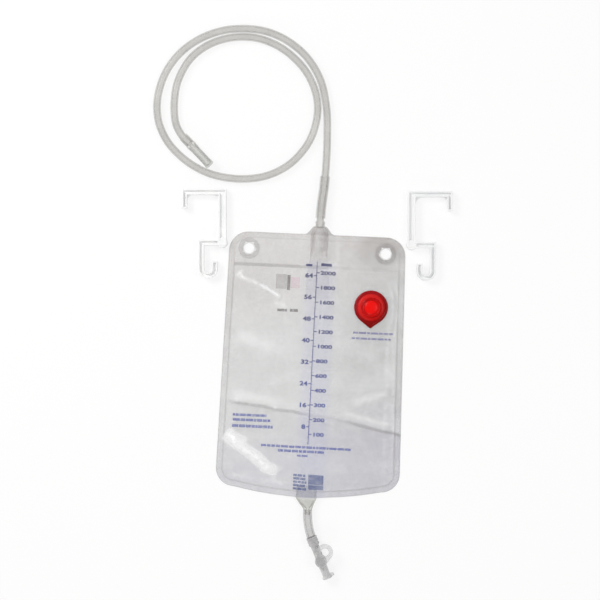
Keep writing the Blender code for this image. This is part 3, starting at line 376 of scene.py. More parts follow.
def rounded(points, radius, steps=3):
    """A closed run of 2D points with each corner replaced by a parabola of about the radius."""
    points = np.asarray(points, float)

    def pull(other):
        reach = np.linalg.norm(other - points, axis=1)[:, None]
        return (points + (other - points) * np.minimum(radius / np.maximum(reach, 1e-9), 0.45))[:, None, :]

    start, end = pull(np.roll(points, 1, axis=0)), pull(np.roll(points, -1, axis=0))
    t = np.linspace(0, 1, steps + 1)[None, :, None]
    return ((1 - t) ** 2 * start + 2 * t * (1 - t) * points[:, None, :] + t ** 2 * end).reshape(-1, 2)


def lathe(name, profile, place, finish, body, replaces=(), radius=0.3, count=48, steps=3):
    """Revolve a closed (radius, height) outline in mm about the +Z of a placement; its corners are eased."""
    outline = rounded(np.array(profile) * MM, radius * MM, steps)
    away, height = np.maximum(outline[:, 0, None], AXIS_GAP), outline[:, 1, None]
    turn = turns(count)
    rings = np.stack([away * np.cos(turn), away * np.sin(turn), np.repeat(height, count, axis=1)], -1)
    placed = rings.reshape(-1, 3) @ np.array(place.to_3x3()).T + np.array(place.translation)
    faces = [grid_faces(len(outline), count, closed=True)]
    return add_piece(name, placed, faces, finish, body, replaces)


def pointing(place, along):
    """Placement at a point with its +Z along a direction."""
    return Matrix.Translation(place) @ along.to_track_quat("Z", "Y").to_matrix().to_4x4()


def make_moulded_finish(name, colour, rough, clouds, first, second, wear, grain, specular=0.5):
    """Moulded plastic: clouds between two colours; wear is (waves, detail, range, least) of its roughness,
    grain is (waves, detail, depth, strength) of its bumps."""
    moulded = Finish(name, colour, rough, Specular_IOR_Level=specular)
    moulded.feed("Base Color", moulded.mix(moulded.noise(clouds).step(0.3, 0.7), first, second))
    moulded.feed("Roughness", moulded.noise(*wear[:2]) * wear[2] + wear[3])
    moulded.bump(moulded.noise(*grain[:2]), *grain[2:])
    return moulded


connector_place = pointing(CONNECTOR_START, CONNECTOR_ALONG)
connector_finish = make_clear_finish("clear_connector", (0.30, 0.29, 0.245), 0.015, 0.45, 0.14, 1.6)
connector_way = connector_finish.node("ShaderNodeVectorMath", {
    0: connector_finish.place, 1: tuple(CONNECTOR_ALONG)}, operation="DOT_PRODUCT").out("Value")
connector_way = connector_way - CONNECTOR_ALONG.dot(Vector(CONNECTOR_START))
connector_finish.thicken(connector_way.step(0.0100, 0.0112) * connector_way.step(0.0152, 0.0140) * 0.12)
connector = lathe("catheter_connector_clear", [
    (2.1, 11), (2.1, NOSE_END), (3.1, NOSE_END), (3.9, BARREL_END), (5.55, BARREL_END), (5.55, 12.9),
    (5.25, 12.5), (5.25, 8.5), (5.45, 8), (5.45, 7), (5.25, 6.5), (5.25, 5), (5.45, 4.5), (5.45, 3.5),
    (5.25, 3), (5.25, 0), (4.55, 0), (4.55, 11),
], connector_place, connector_finish, "bag", ["catheter_connector"], 0.2, 40, 2)

cap_finish = make_moulded_finish("natural_polypropylene", (0.50, 0.495, 0.47), 0.34, 120.0,
                                 (0.30, 0.295, 0.255), (0.38, 0.375, 0.335), (300, 2, 0.18, 0.26),
                                 (1500, 2, 0.00004, 0.5))
cap_finish.feed("Alpha", (cap_finish.edge_on() ** 1.6 * 0.45 + 0.13).least(1.0))
end_cap = lathe("connector_cap_moulded", [
    (0, 44.4), (5.1, 44.4), (5.1, 40.5), (4.8, 40.2), (4.8, 20), (5.1, 19.6), (5.1, 14.8), (4.2, 14.8),
    (4.2, 42.8), (0, 42.8),
], connector_place, cap_finish, "end_cap", ["connector_cap"], 0.6, 40)


# Film bag: the back film
# Two sheets of soft clear PVC, about 207 by 295 mm, heat welded along the sides and the foot, with a
# header above a cross weld.  The back one lies on the table, a little rippled; both share one outline.

FILM = 0.00035
FOOT_HALF = 0.1035
TAPER = 0.005
TOP = 0.1475
CORNER_LINE = -0.1385
HEIGHT = 0.286
SAG = 0.009                     # bow of the foot
BOW_FADE = 0.060
INLET_BELL = 0.0088             # rise of the top edge round the inlet
CORNER = 0.021
WELD = 0.0067
SEAM = 0.1110
WELD_LEVEL = 0.00065
EYELETS = ((-0.0767, 0.1290), (0.0767, 0.1290))
EYELET_CUT = 0.0069             # radius of the hole in the film
RIM_REACH = 0.0006              # how far outside a hole a grid point still moves onto its rim
VENT = (0.0627, 0.0684)


def ease(t):
    """Smooth step from 0 to 1 on arrays."""
    t = np.clip(t, 0.0, 1.0)
    return t * t * (3 - 2 * t)


def straight_side(y):
    """Half width without the corners: it shrinks evenly towards the top."""
    return FOOT_HALF - TAPER * (y - CORNER_LINE) / HEIGHT


def half_width(y):
    """Half width of the bag: its straight taper less the corner's arc near both ends."""
    into_corner = np.clip(CORNER - np.minimum(y - CORNER_LINE, TOP - y), 0.0, CORNER)
    return straight_side(y) - CORNER + np.sqrt(CORNER ** 2 - into_corner ** 2)


def edge_shift(x, y):
    """Shift along Y: the foot bows out as a parabola, the top edge rises in a bell round the inlet."""
    bow = 1 - np.clip(np.abs(x) / (FOOT_HALF - CORNER), 0, 1) ** 2
    low = 1 - ease((y - CORNER_LINE) / BOW_FADE)
    high = ease((y - TOP) / 0.012 + 1)
    beside = (0.0175 - np.abs(x - INLET_X)) / 0.0115
    return -SAG * bow * low + INLET_BELL * ease(beside) ** 1.5 * high


def film_grid(columns, rows):
    """Plan of a film: shares of the half width by rows that close up in the corners."""
    corner = CORNER * (1 - np.cos(np.radians(np.linspace(0, 90, 11))))
    middle = np.linspace(CORNER_LINE + CORNER, TOP - CORNER, rows - 20)
    y = np.concatenate([CORNER_LINE + corner[:-1], middle, (TOP - corner[:-1])[::-1]])
    share = np.linspace(-1, 1, columns)
    share = share * (1 - 0.10 * (1 - share ** 2))
    x = share[:, None] * half_width(y)[None, :]
    y = np.repeat(y[None, :], columns, axis=0)
    return x, y + edge_shift(x, y)


def give_depth(item, name, depth):
    """Thicken a skin upwards."""
    skin = item.modifiers.new(name, "SOLIDIFY")
    skin.thickness = depth
    skin.offset = 1


def add_film(name, x, y, z, holes, finish, node):
    """A film over a grid, with round holes: grid points beside a hole move onto its rim."""
    points = np.stack([x, y, z], -1).reshape(-1, 3)
    quads = grid_faces(*x.shape, around=False)
    for *centre, radius in holes:
        from_hole = points[:, :2] - centre
        away = np.hypot(*from_hole.T)
        quads = quads[np.hypot(*(points[quads, :2].mean(1) - centre).T) > radius]
        rim = np.intersect1d(np.unique(quads), np.where(away < radius + RIM_REACH)[0])
        points[rim, :2] = centre + from_hole[rim] * radius / away[rim, None]
    used, renumbered = np.unique(quads, return_inverse=True)
    quads = renumbered.reshape(-1, 4).tolist()
    film = add_mesh(name, points[used], quads, finish, "bag", [node])
    film.data.shade_smooth()
    give_depth(film, "film_thickness", FILM)


def edge_distance(finish):
    """Distance in from the bag's outline: that of a rounded box with a slight taper and a bowed foot."""
    x, y = finish.axes()
    across = abs(x)
    low = y.step(CORNER_LINE + BOW_FADE, CORNER_LINE)
    flat_y = y + (1.0 - (across / (FOOT_HALF - CORNER)).least(1.0) ** 2) * low * SAG
    side = (flat_y - CORNER_LINE) * (-TAPER / HEIGHT) + FOOT_HALF
    past_x = across - side + CORNER
    past_y = abs(flat_y - (TOP + CORNER_LINE) / 2) - (HEIGHT / 2 - CORNER)
    outside = (past_x.most(0.0) ** 2 + past_y.most(0.0) ** 2) ** 0.5
    return CORNER - outside - past_x.most(past_y).least(0.0)


def band(value, middle, half, soft):
    """1 within half of a middle value, easing to 0 over the soft width."""
    return abs(value - middle).step(half + soft, half)


def make_film_finish(name, face_alpha):
    """Soft PVC film: a greyish haze, warmer at the head and cooler at the foot, with crinkles, painted sheen
    along them, a painted shade by the right eyelet, and welds.
    """
    film = Finish(name, (0.5, 0.5, 0.5), 0.2, Specular_IOR_Level=0.8, IOR=1.53)
    x, y = film.axes()
    inward = edge_distance(film)
    cloud = film.noise(20.0, 3.0, 0.55, (1.0, 1.7, 1.0, 14.0))
    fine = film.noise(150.0, 3.0, 0.6, (1.0, 0.55, 1.0, -14.0))
    crinkle_and_sheen = (1.0 - abs(film.noise(34.0, 3.0, 0.5, (1.0, 1.6, 1.0, 18.0)) - 0.5) * 16.0).most(0.0)
    weld = inward.step(WELD + 0.0004, WELD - 0.0004)
    seam = band(y, SEAM, 0.0010, 0.0016) * inward.step(WELD - 0.001, WELD) * x.step(0.05, -0.03, 0.2, 1.0)
    weld_edge = band(inward, WELD, 0.0003, 0.0013) * y.step(0.135, 0.09, 0.35, 1.0)
    rim = inward.step(0.0014, 0.0002)
    warm = (y * 8.0 - x * 3.0 + cloud * 0.4).step(0.45, 1.35)
    cool = (y * -1.0 + x * 0.25 + cloud * 0.03).step(0.045, 0.125)
    film.feed("Base Color", film.mix(cloud.step(0.35, 0.68), (0.40, 0.395, 0.39), (0.60, 0.60, 0.60)))
    # Painted sheen: the crinkle lines are laid on paler, as thin highlights; they also raise the bump below.
    film.lay((warm * 0.8, (0.48, 0.43, 0.40)), (cool * 0.8, (0.43, 0.415, 0.50)),
             (crinkle_and_sheen * 0.28, (0.86, 0.86, 0.86)),
             ((weld_edge * 0.4 + seam * 0.6 + rim * 0.4).least(1.0), (0.24, 0.225, 0.215)))
    right = x.step(-0.03, 0.075)
    head = y.step(SEAM - 0.001, SEAM + 0.001)
    # Painted shade: a darker cloud round the right eyelet.
    dark = ((x - 0.0730) ** 2 + ((y - 0.1330) * 1.4) ** 2).step(0.0013, 0.0001)
    beside = x.step(0.015, 0.050) * y.step(-0.060, -0.045) * (1.0 - head)
    corner = ((x + 0.070) ** 2 + (y - 0.087) ** 2).step(0.0014, 0.0002)
    left_weld = weld * x.step(0.0, -0.05) * y.step(-0.04, 0.02)
    density = cloud * 0.09 + fine * 0.05 + crinkle_and_sheen * 0.02 + (face_alpha - 0.058)
    for mask, more in ((right, 0.040), (cool, 0.015), (head * right, 0.012), (dark, 0.080), (weld, 0.008),
                       (beside, 0.018), (corner, 0.018), (left_weld, 0.018), (weld_edge, 0.034), (seam, 0.06),
                       (rim, 0.045)):
        density = density + mask * more
    film.feed("Alpha", density.least(0.95))
    film.feed("Roughness", fine * 0.10 + weld * 0.12 + 0.13)
    knurl = film.node("ShaderNodeTexVoronoi", {"Vector": film.place, "Scale": 900.0}) * weld * 0.25
    film.bump(fine * 0.8 + crinkle_and_sheen * 0.5 + film.noise(420.0, 2.0) * 0.16 + knurl, 0.0006, 0.55)
    return film


back_x, back_y = film_grid(90, 140)
ripple = (np.sin(back_x * 61 + back_y * 23) * np.sin(back_y * 47 - back_x * 31) + 1) * 0.00005
add_film("back_film", back_x, back_y, ripple, [(*centre, EYELET_CUT) for centre in EYELETS],
         make_film_finish("clear_film_back", 0.118), "back_sheet")


# Inlet port
# A soft clear moulding welded between the films at the top: a round neck that holds the tube 7.5 mm deep,
# a shoulder, a flat body 20 mm wide inside the header and a stepped spigot for the sleeve.

NECK = 5.45


def over_inlet(*sections):
    """Oval sections (y, z, half width, half height) in mm, set on the inlet's middle line."""
    return [(INLET_X / MM, *section) for section in sections]


def oval_rings(sections, per_stretch, count):
    """Rings through oval sections (x, y, z, half width, half height) in mm, eased from each to the next."""
    sections = np.array(sections) * MM
    t = ease(np.linspace(0, 1, per_stretch, endpoint=False))[None, :, None]
    runs = (sections[:-1, None, :] * (1 - t) + sections[1:, None, :] * t).reshape(-1, 5)
    x, y, z, width, height = np.vstack([runs, sections[-1:]]).T[:, :, None]
    turn = turns(count)
    return np.stack([x + width * np.cos(turn), np.repeat(y, count, axis=1), z + height * np.sin(turn)], -1)


def add_oval_hose(name, outer, inner, finish, replaces, per_stretch=5, count=48):
    """A hollow moulding through outer oval sections and back through inner ones."""
    rings = np.concatenate([oval_rings(run, per_stretch, count) for run in (outer, inner[::-1])])
    add_piece(name, rings, [grid_faces(len(rings), count, closed=True)], finish, "bag", replaces, 50)


port_finish = make_clear_finish("clear_port", (0.30, 0.225, 0.22), 0.015, 0.55, 0.2, 1.2)
port_x, port_y = port_finish.axes()
# Painted shade: dark bands along both sides of the port's flat body and a denser right half; the port is
# painted paler near its top.
port_side_shade = band(port_x, INLET_X, 0.0088, 0.0012) * abs(port_x - INLET_X).step(0.0035, 0.0070)
port_side_shade = port_side_shade * port_y.step(0.124, 0.140) * port_y.step(0.154, 0.148)
port_shade = (port_x - INLET_X).step(-0.0015, 0.0030) * port_y.step(0.122, 0.132) * port_y.step(0.156, 0.149)
port_finish.thicken(port_side_shade * 0.11 + port_shade * 0.055 - port_y.step(0.1475, 0.1525) * 0.07)
add_oval_hose("inlet_port_moulded", over_inlet(
    (162, 6.4, NECK - 0.3, NECK - 0.3), (161.4, 6.4, NECK, NECK), (160, 6.4, NECK, NECK),
    (159.4, 6.4, NECK - 0.3, NECK - 0.3), (156.5, 6.4, NECK - 0.2, NECK - 0.2), (154, 6.4, 7.2, NECK),
    (150.25, 5.37, 9.3, 4.52), (146, 4.35, 10, 3.4), (133, 4.35, 10, 3.4), (132.9, 4.35, 9.1, 2.8),
    (123, 4.35, 9.1, 2.8),
), over_inlet(
    (162, 6.4, 4.55, 4.55), (154.5, 6.4, 4.55, 4.55), (154.3, 6.4, 3.55, 3.55), (146, 4.35, 8.1, 1.8),
    (123, 4.35, 8.1, 1.8),
), port_finish, ["inlet_port"])


# Non-return sleeve
# A soft film sleeve pulled over the port's spigot, 57 mm long.  It flattens to two lips that lie shut, so
# that nothing runs back up the tube.  It shows faintly through the front film.

def within(sections, wall):
    """Oval sections for the inside of a wall."""
    return [(*place, width - wall, height - wall) for *place, width, height in sections]


sleeve_finish = make_clear_finish("clear_sleeve", (0.40, 0.38, 0.40), 0.02, 0.22, 0.25, 1.5)
SLEEVE = over_inlet((132.7, 4.35, 9.7, 3.4), (121.3, 4.35, 9.7, 3.4), (108.76, 2.89, 11.52, 1.94),
                    (93.94, 1.96, 12.67, 1.01), (75.7, 1.7, 13, 0.75))
add_oval_hose("non_return_sleeve_film", SLEEVE, within(SLEEVE, 0.3), sleeve_finish,
              ["non_return_sleeve"], 8, 40)


# Outlet port
# The matching moulding at the foot of the bag, in a slightly olive PVC: 23 mm wide between the films, it
# narrows below the bag's edge to a round neck and a spigot inside the outlet tube.

outlet_finish = make_clear_finish("clear_outlet", (0.31, 0.305, 0.23), 0.135, 0.78, 0.22, 1.1)
outlet_y = outlet_finish.axes()[1]
outlet_finish.thicken(outlet_y.step(-0.1520, -0.1485) * -0.040 + outlet_y.step(-0.1590, -0.1605) * -0.08)
OUTLET = [
    (-0.6, -134, 4.15, 10.58, 2.88), (-0.6, -140.5, 4.15, 11.5, 3.2), (-0.6, -148.5, 4.15, 11.5, 3.2),
    (0.28, -154.25, 5.2, 8.05, 4.5), (1.6, -159.5, 5.65, 5, 5), (1.6, -160.98, 5.65, 5, 5),
    (1.6, -161, 5.65, 3.1, 3.1), (1.6, -166, 5.65, 3.1, 3.1),
]
OUTLET_BORE = within(OUTLET[:4], 1.3) + [(*OUTLET[row][:3], 2.1, 2.1) for row in (4, 7)]
add_oval_hose("outlet_port_moulded", OUTLET, OUTLET_BORE, outlet_finish, ["outlet_port"])


# Film bag: the front film
# The printed film.  It is welded down flat round its edge, lifts by a few millimetres of air inside, is
# stretched over the sleeve and both ports like a tent, and keeps the creases of its folded packing.

OUTLET_X = -0.0006
VENT_CUT = 0.0089               # radius of the hole in the film
VENT_REST = 0.00355             # height of the film round the vent
PILLOW = 0.0040                 # height of the film over the air inside
RISE = 0.015                    # width of its rise beside a weld
FOLDS = [                       # start, end, height and width of each
    (-90.4, -43.2, -35.9, -49.8, 1.6, 5), (-35.9, -49.8, 24.3, -56.7, 2.1, 4.8),
    (24.3, -56.7, 97.3, -72, 1.9, 5.5), (-91.5, -85.8, -36.3, -119.3, 2.4, 6), (-80, -70, -25, -104, -1.4, 6),
    (-92.8, 98, -64.4, 89.1, 2, 4.5), (-64.4, 89.1, -41.5, 76.7, 2.2, 4.5), (-41.5, 76.7, -34, 48, 1.4, 5),
    (57.6, -35.6, 83, -26.6, 1.5, 5.5), (-70, 30, -45, -20, 1, 11), (40, 15, 70, -10, -1, 10),
]
FOLD_RIDGE = 0.00022            # height of the sharp line along a fold
FOLD_SHARP = 0.0011             # and its width
INLET_TENT = [                  # place along the bag, half width and height of each
    (59.7, 13, 0), (75.7, 13, 2.55), (93.94, 12.67, 3.08), (108.76, 11.52, 4.93), (121.3, 9.7, 7.85),
    (133, 10, 7.85), (146, 10, 7.85), (150.25, 9.3, 10), (154, 7.36, 11.95), (156.5, 5.45, 11.95),
    (162, 5.45, 11.95),
]
OUTLET_TENT = [(-148.5, 11.5, 7.45), (-140.5, 11.5, 7.45), (-134, 10.58, 7.13), (-118, 11.5, 0)]


def crease(x, y, x0, y0, x1, y1, height, width, ridge=0.0):
    """Height of a bell along a straight stretch between two points, with a sharp ridge on it if asked."""
    run_x, run_y = x1 - x0, y1 - y0
    along = np.clip(((x - x0) * run_x + (y - y0) * run_y) / (run_x ** 2 + run_y ** 2), 0, 1)
    away = np.hypot(x - x0 - along * run_x, y - y0 - along * run_y)
    return height * np.exp(-(away / width) ** 2) + ridge * np.sign(height) * np.exp(-away / FOLD_SHARP)


def tent(x, y, stations, centre_x):
    """Film over a port: full height over its middle, easing down beside it."""
    places, widths, heights = np.array(stations).T * MM
    width = np.interp(y, places, widths)
    beside = (np.abs(x - centre_x) - 0.3 * width) / (1.35 * width + 0.0085)
    return np.interp(y, places, heights) * (1 - ease(beside))


draw = np.random.default_rng(11)
wrinkle_start = np.column_stack([draw.uniform(-0.092, 0.092, 64), draw.uniform(-0.130, 0.104, 64)])
wrinkle_turn = np.radians(draw.normal(-14.0, 38.0, 64))[:, None]
wrinkle_reach = draw.uniform(0.008, 0.034, 64)[:, None]
wrinkle_run = np.hstack([np.cos(wrinkle_turn), np.sin(wrinkle_turn)]) * wrinkle_reach
wrinkles = np.column_stack([wrinkle_start, wrinkle_start + wrinkle_run, draw.uniform(-0.00030, 0.00034, 64),
                            draw.uniform(0.0013, 0.0032, 64)])


def film_height(x, y):
    """Underside of the front film: the larger of the pillow with its folds and of the two tents."""
    side = straight_side(y) - WELD - np.abs(x)
    foot = y - edge_shift(x, np.full_like(y, CORNER_LINE)) - CORNER_LINE - WELD
    chamber = ease(side / RISE) * ease(foot / RISE) * ease((SEAM - y) / RISE)
    shape = PILLOW + 0.00035 * np.sin(x * 74 + y * 39 + 0.6) * np.sin(y * 58 - x * 33)
    for fold in np.array(FOLDS) * MM:
        shape = shape + crease(x, y, *fold, FOLD_RIDGE)
    for wrinkle in wrinkles:
        shape = shape + crease(x, y, *wrinkle)
    at_vent = 1 - ease((np.hypot(x - VENT[0], y - VENT[1]) - 0.025) / 0.011)
    free = chamber * shape * (1 - at_vent) + VENT_REST * at_vent * ease(side / WELD)
    lift = np.maximum(tent(x, y, INLET_TENT, INLET_X), tent(x, y, OUTLET_TENT, OUTLET_X))
    return WELD_LEVEL + np.maximum(np.maximum(free, lift), 0.0)


def make_front_finish():
    """The front film's own look: the haze of the back one, with painted shade and painted highlights along
    its folds and painted white glare streaks.
    """
    film = make_film_finish("clear_film_front", 0.145)
    x, y = film.axes()
    wander = film.noise(70.0, 2.0) - 0.5

    def streaks(*rows):
        """The strongest of soft bars, each given by its start, end and half width in mm and its strength."""
        bars = []
        for *sizes, strength in rows:
            x0, y0, x1, y1, half = (size * MM for size in sizes)
            length = math.hypot(x1 - x0, y1 - y0)
            run_x, run_y = (x1 - x0) / length, (y1 - y0) / length
            along = (x - x0) * run_x + (y - y0) * run_y
            beside = (x - x0) * -run_y + (y - y0) * run_x + wander * 0.007
            middle = abs(along - length / 2).step(length / 2, length * 0.28)
            bars.append(abs(beside).step(half, 0.0) * middle * strength)
        return reduce(Value.most, bars)

    # Painted shade along the main fold: a dark line on it and a denser band below it; a painted highlight in
    # a paler band above it.
    above = y + x * 0.12 + (x - 0.0243).most(0.0) * 0.09 + 0.0541 + wander * 0.003
    ends = x.step(-0.098, -0.080) * (band(x, 0.020, 0.014, 0.020) * -0.6 + 1.0)
    line = band(above, -0.0004, 0.0004, 0.0030) * ends
    under = above.step(0.0010, -0.0040) * above.step(-0.045, -0.004) * x.step(-0.09, 0.04, 0.45, 1.0)
    over = above.step(0.0, 0.004) * above.step(0.022, 0.005)
    scale = band(x, 0.0040, 0.0100, 0.0120) * y.step(0.122, 0.112)
    # Painted highlights: faint pale streaks, and strong white glare streaks with a little noise in them.
    faint_highlights = streaks((-92.8, 100, -60.6, 89, 4, 1), (-48, 70, -29, 64, 4, 1), (44, -42, 90, -24, 7, 1),
                    (30, -50, 97.3, -64, 5, 1), (-93, -34, -30, -43, 8, 1), (-90, 33, -40, 17, 11, 1))
    white = streaks((-96.5, -78, -32.5, -123.5, 9.2, 1), (-96.5, -79, -70, -93.5, 10.5, 1),
                    (-64.4, 90.5, -38, 74.5, 3, 0.6))
    white = white * (film.noise(210.0, 4.0, 0.65).step(0.2, 0.6) * 0.25 + 0.75)
    film.lay(((line * 0.7).least(1.0), (0.20, 0.185, 0.18)), (over * 0.35, (0.80, 0.80, 0.79)),
             (scale * 0.5, (0.38, 0.40, 0.66)), (faint_highlights * 0.7, (0.95, 0.95, 0.95)),
             ((white * 6.0).least(1.0), (0.98, 0.98, 0.985)))
    film.thicken(line * 0.11 + under * 0.05 + scale * 0.028)
    film.thicken(white ** 1.5 * 0.85)
    return film


front_x, front_y = film_grid(168, 250)
front_holes = [(*centre, EYELET_CUT) for centre in EYELETS] + [(*VENT, VENT_CUT)]
add_film("front_film", front_x, front_y, film_height(front_x, front_y), front_holes, make_front_finish(),
         "front_sheet")


# Eyelets
# Two reinforcing rings pressed through the header, 24 mm across with an 11 mm hole, from a greyer PVC.
# The hangers' hooks or a cord go through them.

def upright(place):
    """Placement on the table below a point, pointing up."""
    return Matrix.Translation((*place[:2], 0.0))


eyelet_finish = make_clear_finish("eyelet_plastic", (0.34, 0.315, 0.305), 0.10, 0.60, 0.24, 1.5)
for side, centre in zip(("left", "right"), EYELETS):
    lathe("eyelet_ring_" + side, [
        (5.6, 2.7), (6.8, 2.9), (8.7, 2.9), (9.2, 2.5), (9.8, 2.5), (10.3, 2.7), (11.2, 2.6), (11.8, 2),
        (11.8, 1.3), (6.6, 1.3), (6.6, 0.1), (5.6, 0.1),
    ], upright(centre), eyelet_finish, "bag", ["eyelet_" + side], 0.4, 64)


# Print on the front film
# Blue ink: a scale line with two columns of plain numbers, short strokes where the lines of text are, and a
# box.  Three small fields and their captions are grey, pink and dark.  Ink is a thin skin on the film.

INK_GAP = 0.00006
INK_DEPTH = 0.00006
SCALE_TOP = np.array([0.4, 117.0])
SCALE_FOOT = np.array([-1.2, -88.0])
SCALE_TURN = math.atan2(*(SCALE_TOP - SCALE_FOOT))
FIGURE = 0.70                   # height of a figure in the typeface
RIGHT_MARKS = [2000, 1800, 1600, 1400, 1200, 1000, 800, 600, 400, 300, 200, 100]
LEFT_MARKS = [64, 56, 48, 40, 32, 24, 16, 8]


def add_print(name, patches, ink_name, alpha, top, foot=None):
    """Flat patches of (points in mm, faces) laid on the film.  Their ink is thin in places, and its colour
    runs from the header's to the foot's."""
    ink = Finish(ink_name, top, 0.35)
    speckle = ink.noise(700.0, 3.0, 0.6)
    ink.feed("Base Color", ink.mix(ink.axes()[1].step(0.10, -0.06), top, foot or top))
    ink.feed("Alpha", (speckle.step(0.22, 0.5) * 0.12 + ink.noise(60.0) * 0.16 + (alpha - 0.2)).least(1.0))
    ink.feed("Roughness", speckle * 0.2 + 0.28)
    ink.bump(speckle, 0.00003, 0.4)
    points = np.vstack([patch for patch, _ in patches]) * MM
    starts = np.cumsum([0] + [len(patch) for patch, _ in patches]).tolist()
    faces = [[start + i for i in face] for start, (_, group) in zip(starts, patches) for face in group]
    level = film_height(*points.T) + FILM + INK_GAP
    give_depth(add_mesh(name, np.column_stack([points, level]), faces, ink, "bag"), "ink_depth", INK_DEPTH)


def stroke(start, end, width, pitch=1.2):
    """A straight bar between two points, cut into short quads so that it can follow the film."""
    run = np.subtract(end, start)
    length = np.linalg.norm(run)
    count = max(2, int(length / pitch) + 1)
    side = np.array([-run[1], run[0]]) / length * width / 2
    middle = start + np.linspace(0, 1, count)[:, None] * run
    return (np.vstack([middle - side, middle + side]),
            [(i, i + 1, count + i + 1, count + i) for i in range(count - 1)])


def field(corner, across, up, steps=(14, 8)):
    """A flat four-sided patch from one corner along two edges."""
    u, v = np.meshgrid(*(np.linspace(0, 1, count) for count in steps), indexing="ij")
    points = corner + u.reshape(-1, 1) * across + v.reshape(-1, 1) * up
    return points, grid_faces(*steps, around=False).tolist()


def spun(angle):
    """Matrix that turns rows of flat points to the left by an angle."""
    return np.array([[math.cos(angle), math.sin(angle)], [-math.sin(angle), math.cos(angle)]])


def numeral(text, place, height, stretch, align):
    """A plain number as a flat patch at a place, square to the scale line, from the built-in typeface."""
    curve = bpy.data.curves.new("numeral", "FONT")
    curve.body = text
    curve.resolution_u = 3
    curve.offset = 0.038
    curve.align_x = align
    item = add_item("numeral", curve)
    bpy.context.view_layer.update()
    mesh = bpy.data.meshes.new_from_object(item.evaluated_get(bpy.context.evaluated_depsgraph_get()))
    points = np.array([v.co[:2] for v in mesh.vertices]) - (0.0, FIGURE / 2)
    faces = [tuple(p.vertices) for p in mesh.polygons]
    bpy.data.objects.remove(item, do_unlink=True)
    bpy.data.meshes.remove(mesh)
    return points * (stretch, 1.0) * (height / FIGURE) @ spun(-SCALE_TURN) + place, faces


def words(*rows):
    """Strokes of uneven lengths, as a row of small text reads from a distance.  Each row gives its start and
    end, the strokes' width, the seed of their lengths and the gap between two of them."""
    patches = []
    for x0, y0, x1, y1, width, seed, gap in rows:
        lengths = np.random.default_rng(seed)
        start, run = np.array([x0, y0]), np.array([x1 - x0, y1 - y0])
        total = np.linalg.norm(run)
        along = run / total
        walked = 0.0
        while walked < total - 1.0:
            reach = min(lengths.uniform(2.2, 8.5), total - walked)
            patches.append(stroke(start + along * walked, start + along * (walked + reach), width))
            walked += reach + gap
    return patches


def scale_point(y, x=0.0):
    """A point at a height on the scale line, or beside it."""
    share = (y - SCALE_FOOT[1]) / (SCALE_TOP[1] - SCALE_FOOT[1])
    return SCALE_FOOT * (1 - share) + SCALE_TOP * share + (x, 0.0)


marks = [stroke(SCALE_FOOT, SCALE_TOP, 0.7)]
for amounts, first, pitch, parts, long, short, beside, height, stretch, align in (
        (RIGHT_MARKS, 104.6, 16.46, 5, 3.4, 1.9, 4.2, 4.0, 1.50, "LEFT"),
        (LEFT_MARKS, 101.3, 24.20, 4, -3.0, -1.7, -4.0, 4.6, 1.35, "RIGHT")):
    for number, amount in enumerate(amounts):
        level = first - pitch * number
        marks.append(stroke(scale_point(level), scale_point(level, long), 1.0))
        marks.append(numeral(str(amount), scale_point(level, beside), height, stretch, align))
        for small in (level - pitch * part / parts for part in range(1, parts)):
            if small > SCALE_FOOT[1]:
                marks.append(stroke(scale_point(small), scale_point(small, short), 0.28))
marks += [stroke((5.0, 114.0), (16.8, 113.5), 3.0), stroke((-12.0, 112.8), (-5.0, 112.8), 2.4)]
add_print("print_scale", marks, "blue_ink_scale", 0.72, (0.095, 0.095, 0.215), (0.115, 0.135, 0.390))

add_print("print_lines", words(
    (44, 39.5, 88.6, 39.5, 2.2, 1, 1), (42.5, 33.2, 88, 33.2, 2.2, 2, 1),
    (-86.8, -57.9, -49, -57.9, 2.8, 3, 0.6), (-86.5, -63.4, -44.5, -63.4, 3, 4, 0.6),
    (-87.2, -70.3, -41, -70.3, 3.2, 5, 0.6), (-53.7, -90.8, 47, -91.8, 2.6, 6, 0.8),
    (-34.5, -95.8, 18, -96.2, 2.8, 7, 0.8), (-12.8, -100.8, -1, -101, 2, 8, 0.8),
), "blue_ink_lines", 0.50, (0.26, 0.25, 0.42), (0.17, 0.20, 0.50))
box_rows = [(-16.0, -122.6 - row * 3.7, -1.0, -123.2 - row * 3.7, 2.6, 20 + row, 0.7) for row in range(5)]
add_print("print_box", words(*box_rows) + [
    field((0.8, -121.4), (17.0, -0.6), (0.2, -11.0)), field((1.0, -132.8), (17.0, -0.6), (0.2, -5.2)),
], "blue_ink_box", 0.40, (0.07, 0.12, 0.34))
add_print("print_field", [field((-45.0, 85.0), (12.5, 0.0), (0.0, 16.5), (12, 16))], "grey_ink", 0.17,
          (0.34, 0.31, 0.31))
add_print("print_patch", [field((-28.3, 86.2), (10.0, 0.0), (0.0, 12.5), (10, 12))], "pale_pink_ink", 0.26,
          (0.80, 0.62, 0.68))
add_print("print_caption", words(
    (-42, 61.2, -31.2, 61.2, 3, 31, 0.4), (-27.8, 61.4, -18.8, 61.4, 3.2, 32, 0.4),
) + [field((-32.2, 83.8), (3.4, 0.0), (0.0, 17.0), (6, 16))], "dark_ink", 0.40, (0.17, 0.15, 0.145))


# Vent
# A clear ring welded through the front film holds a white filter disc.  The glossy red cap covers it, with
# a raised rim, a stepped dome and a pointed tab by which it is pulled off.

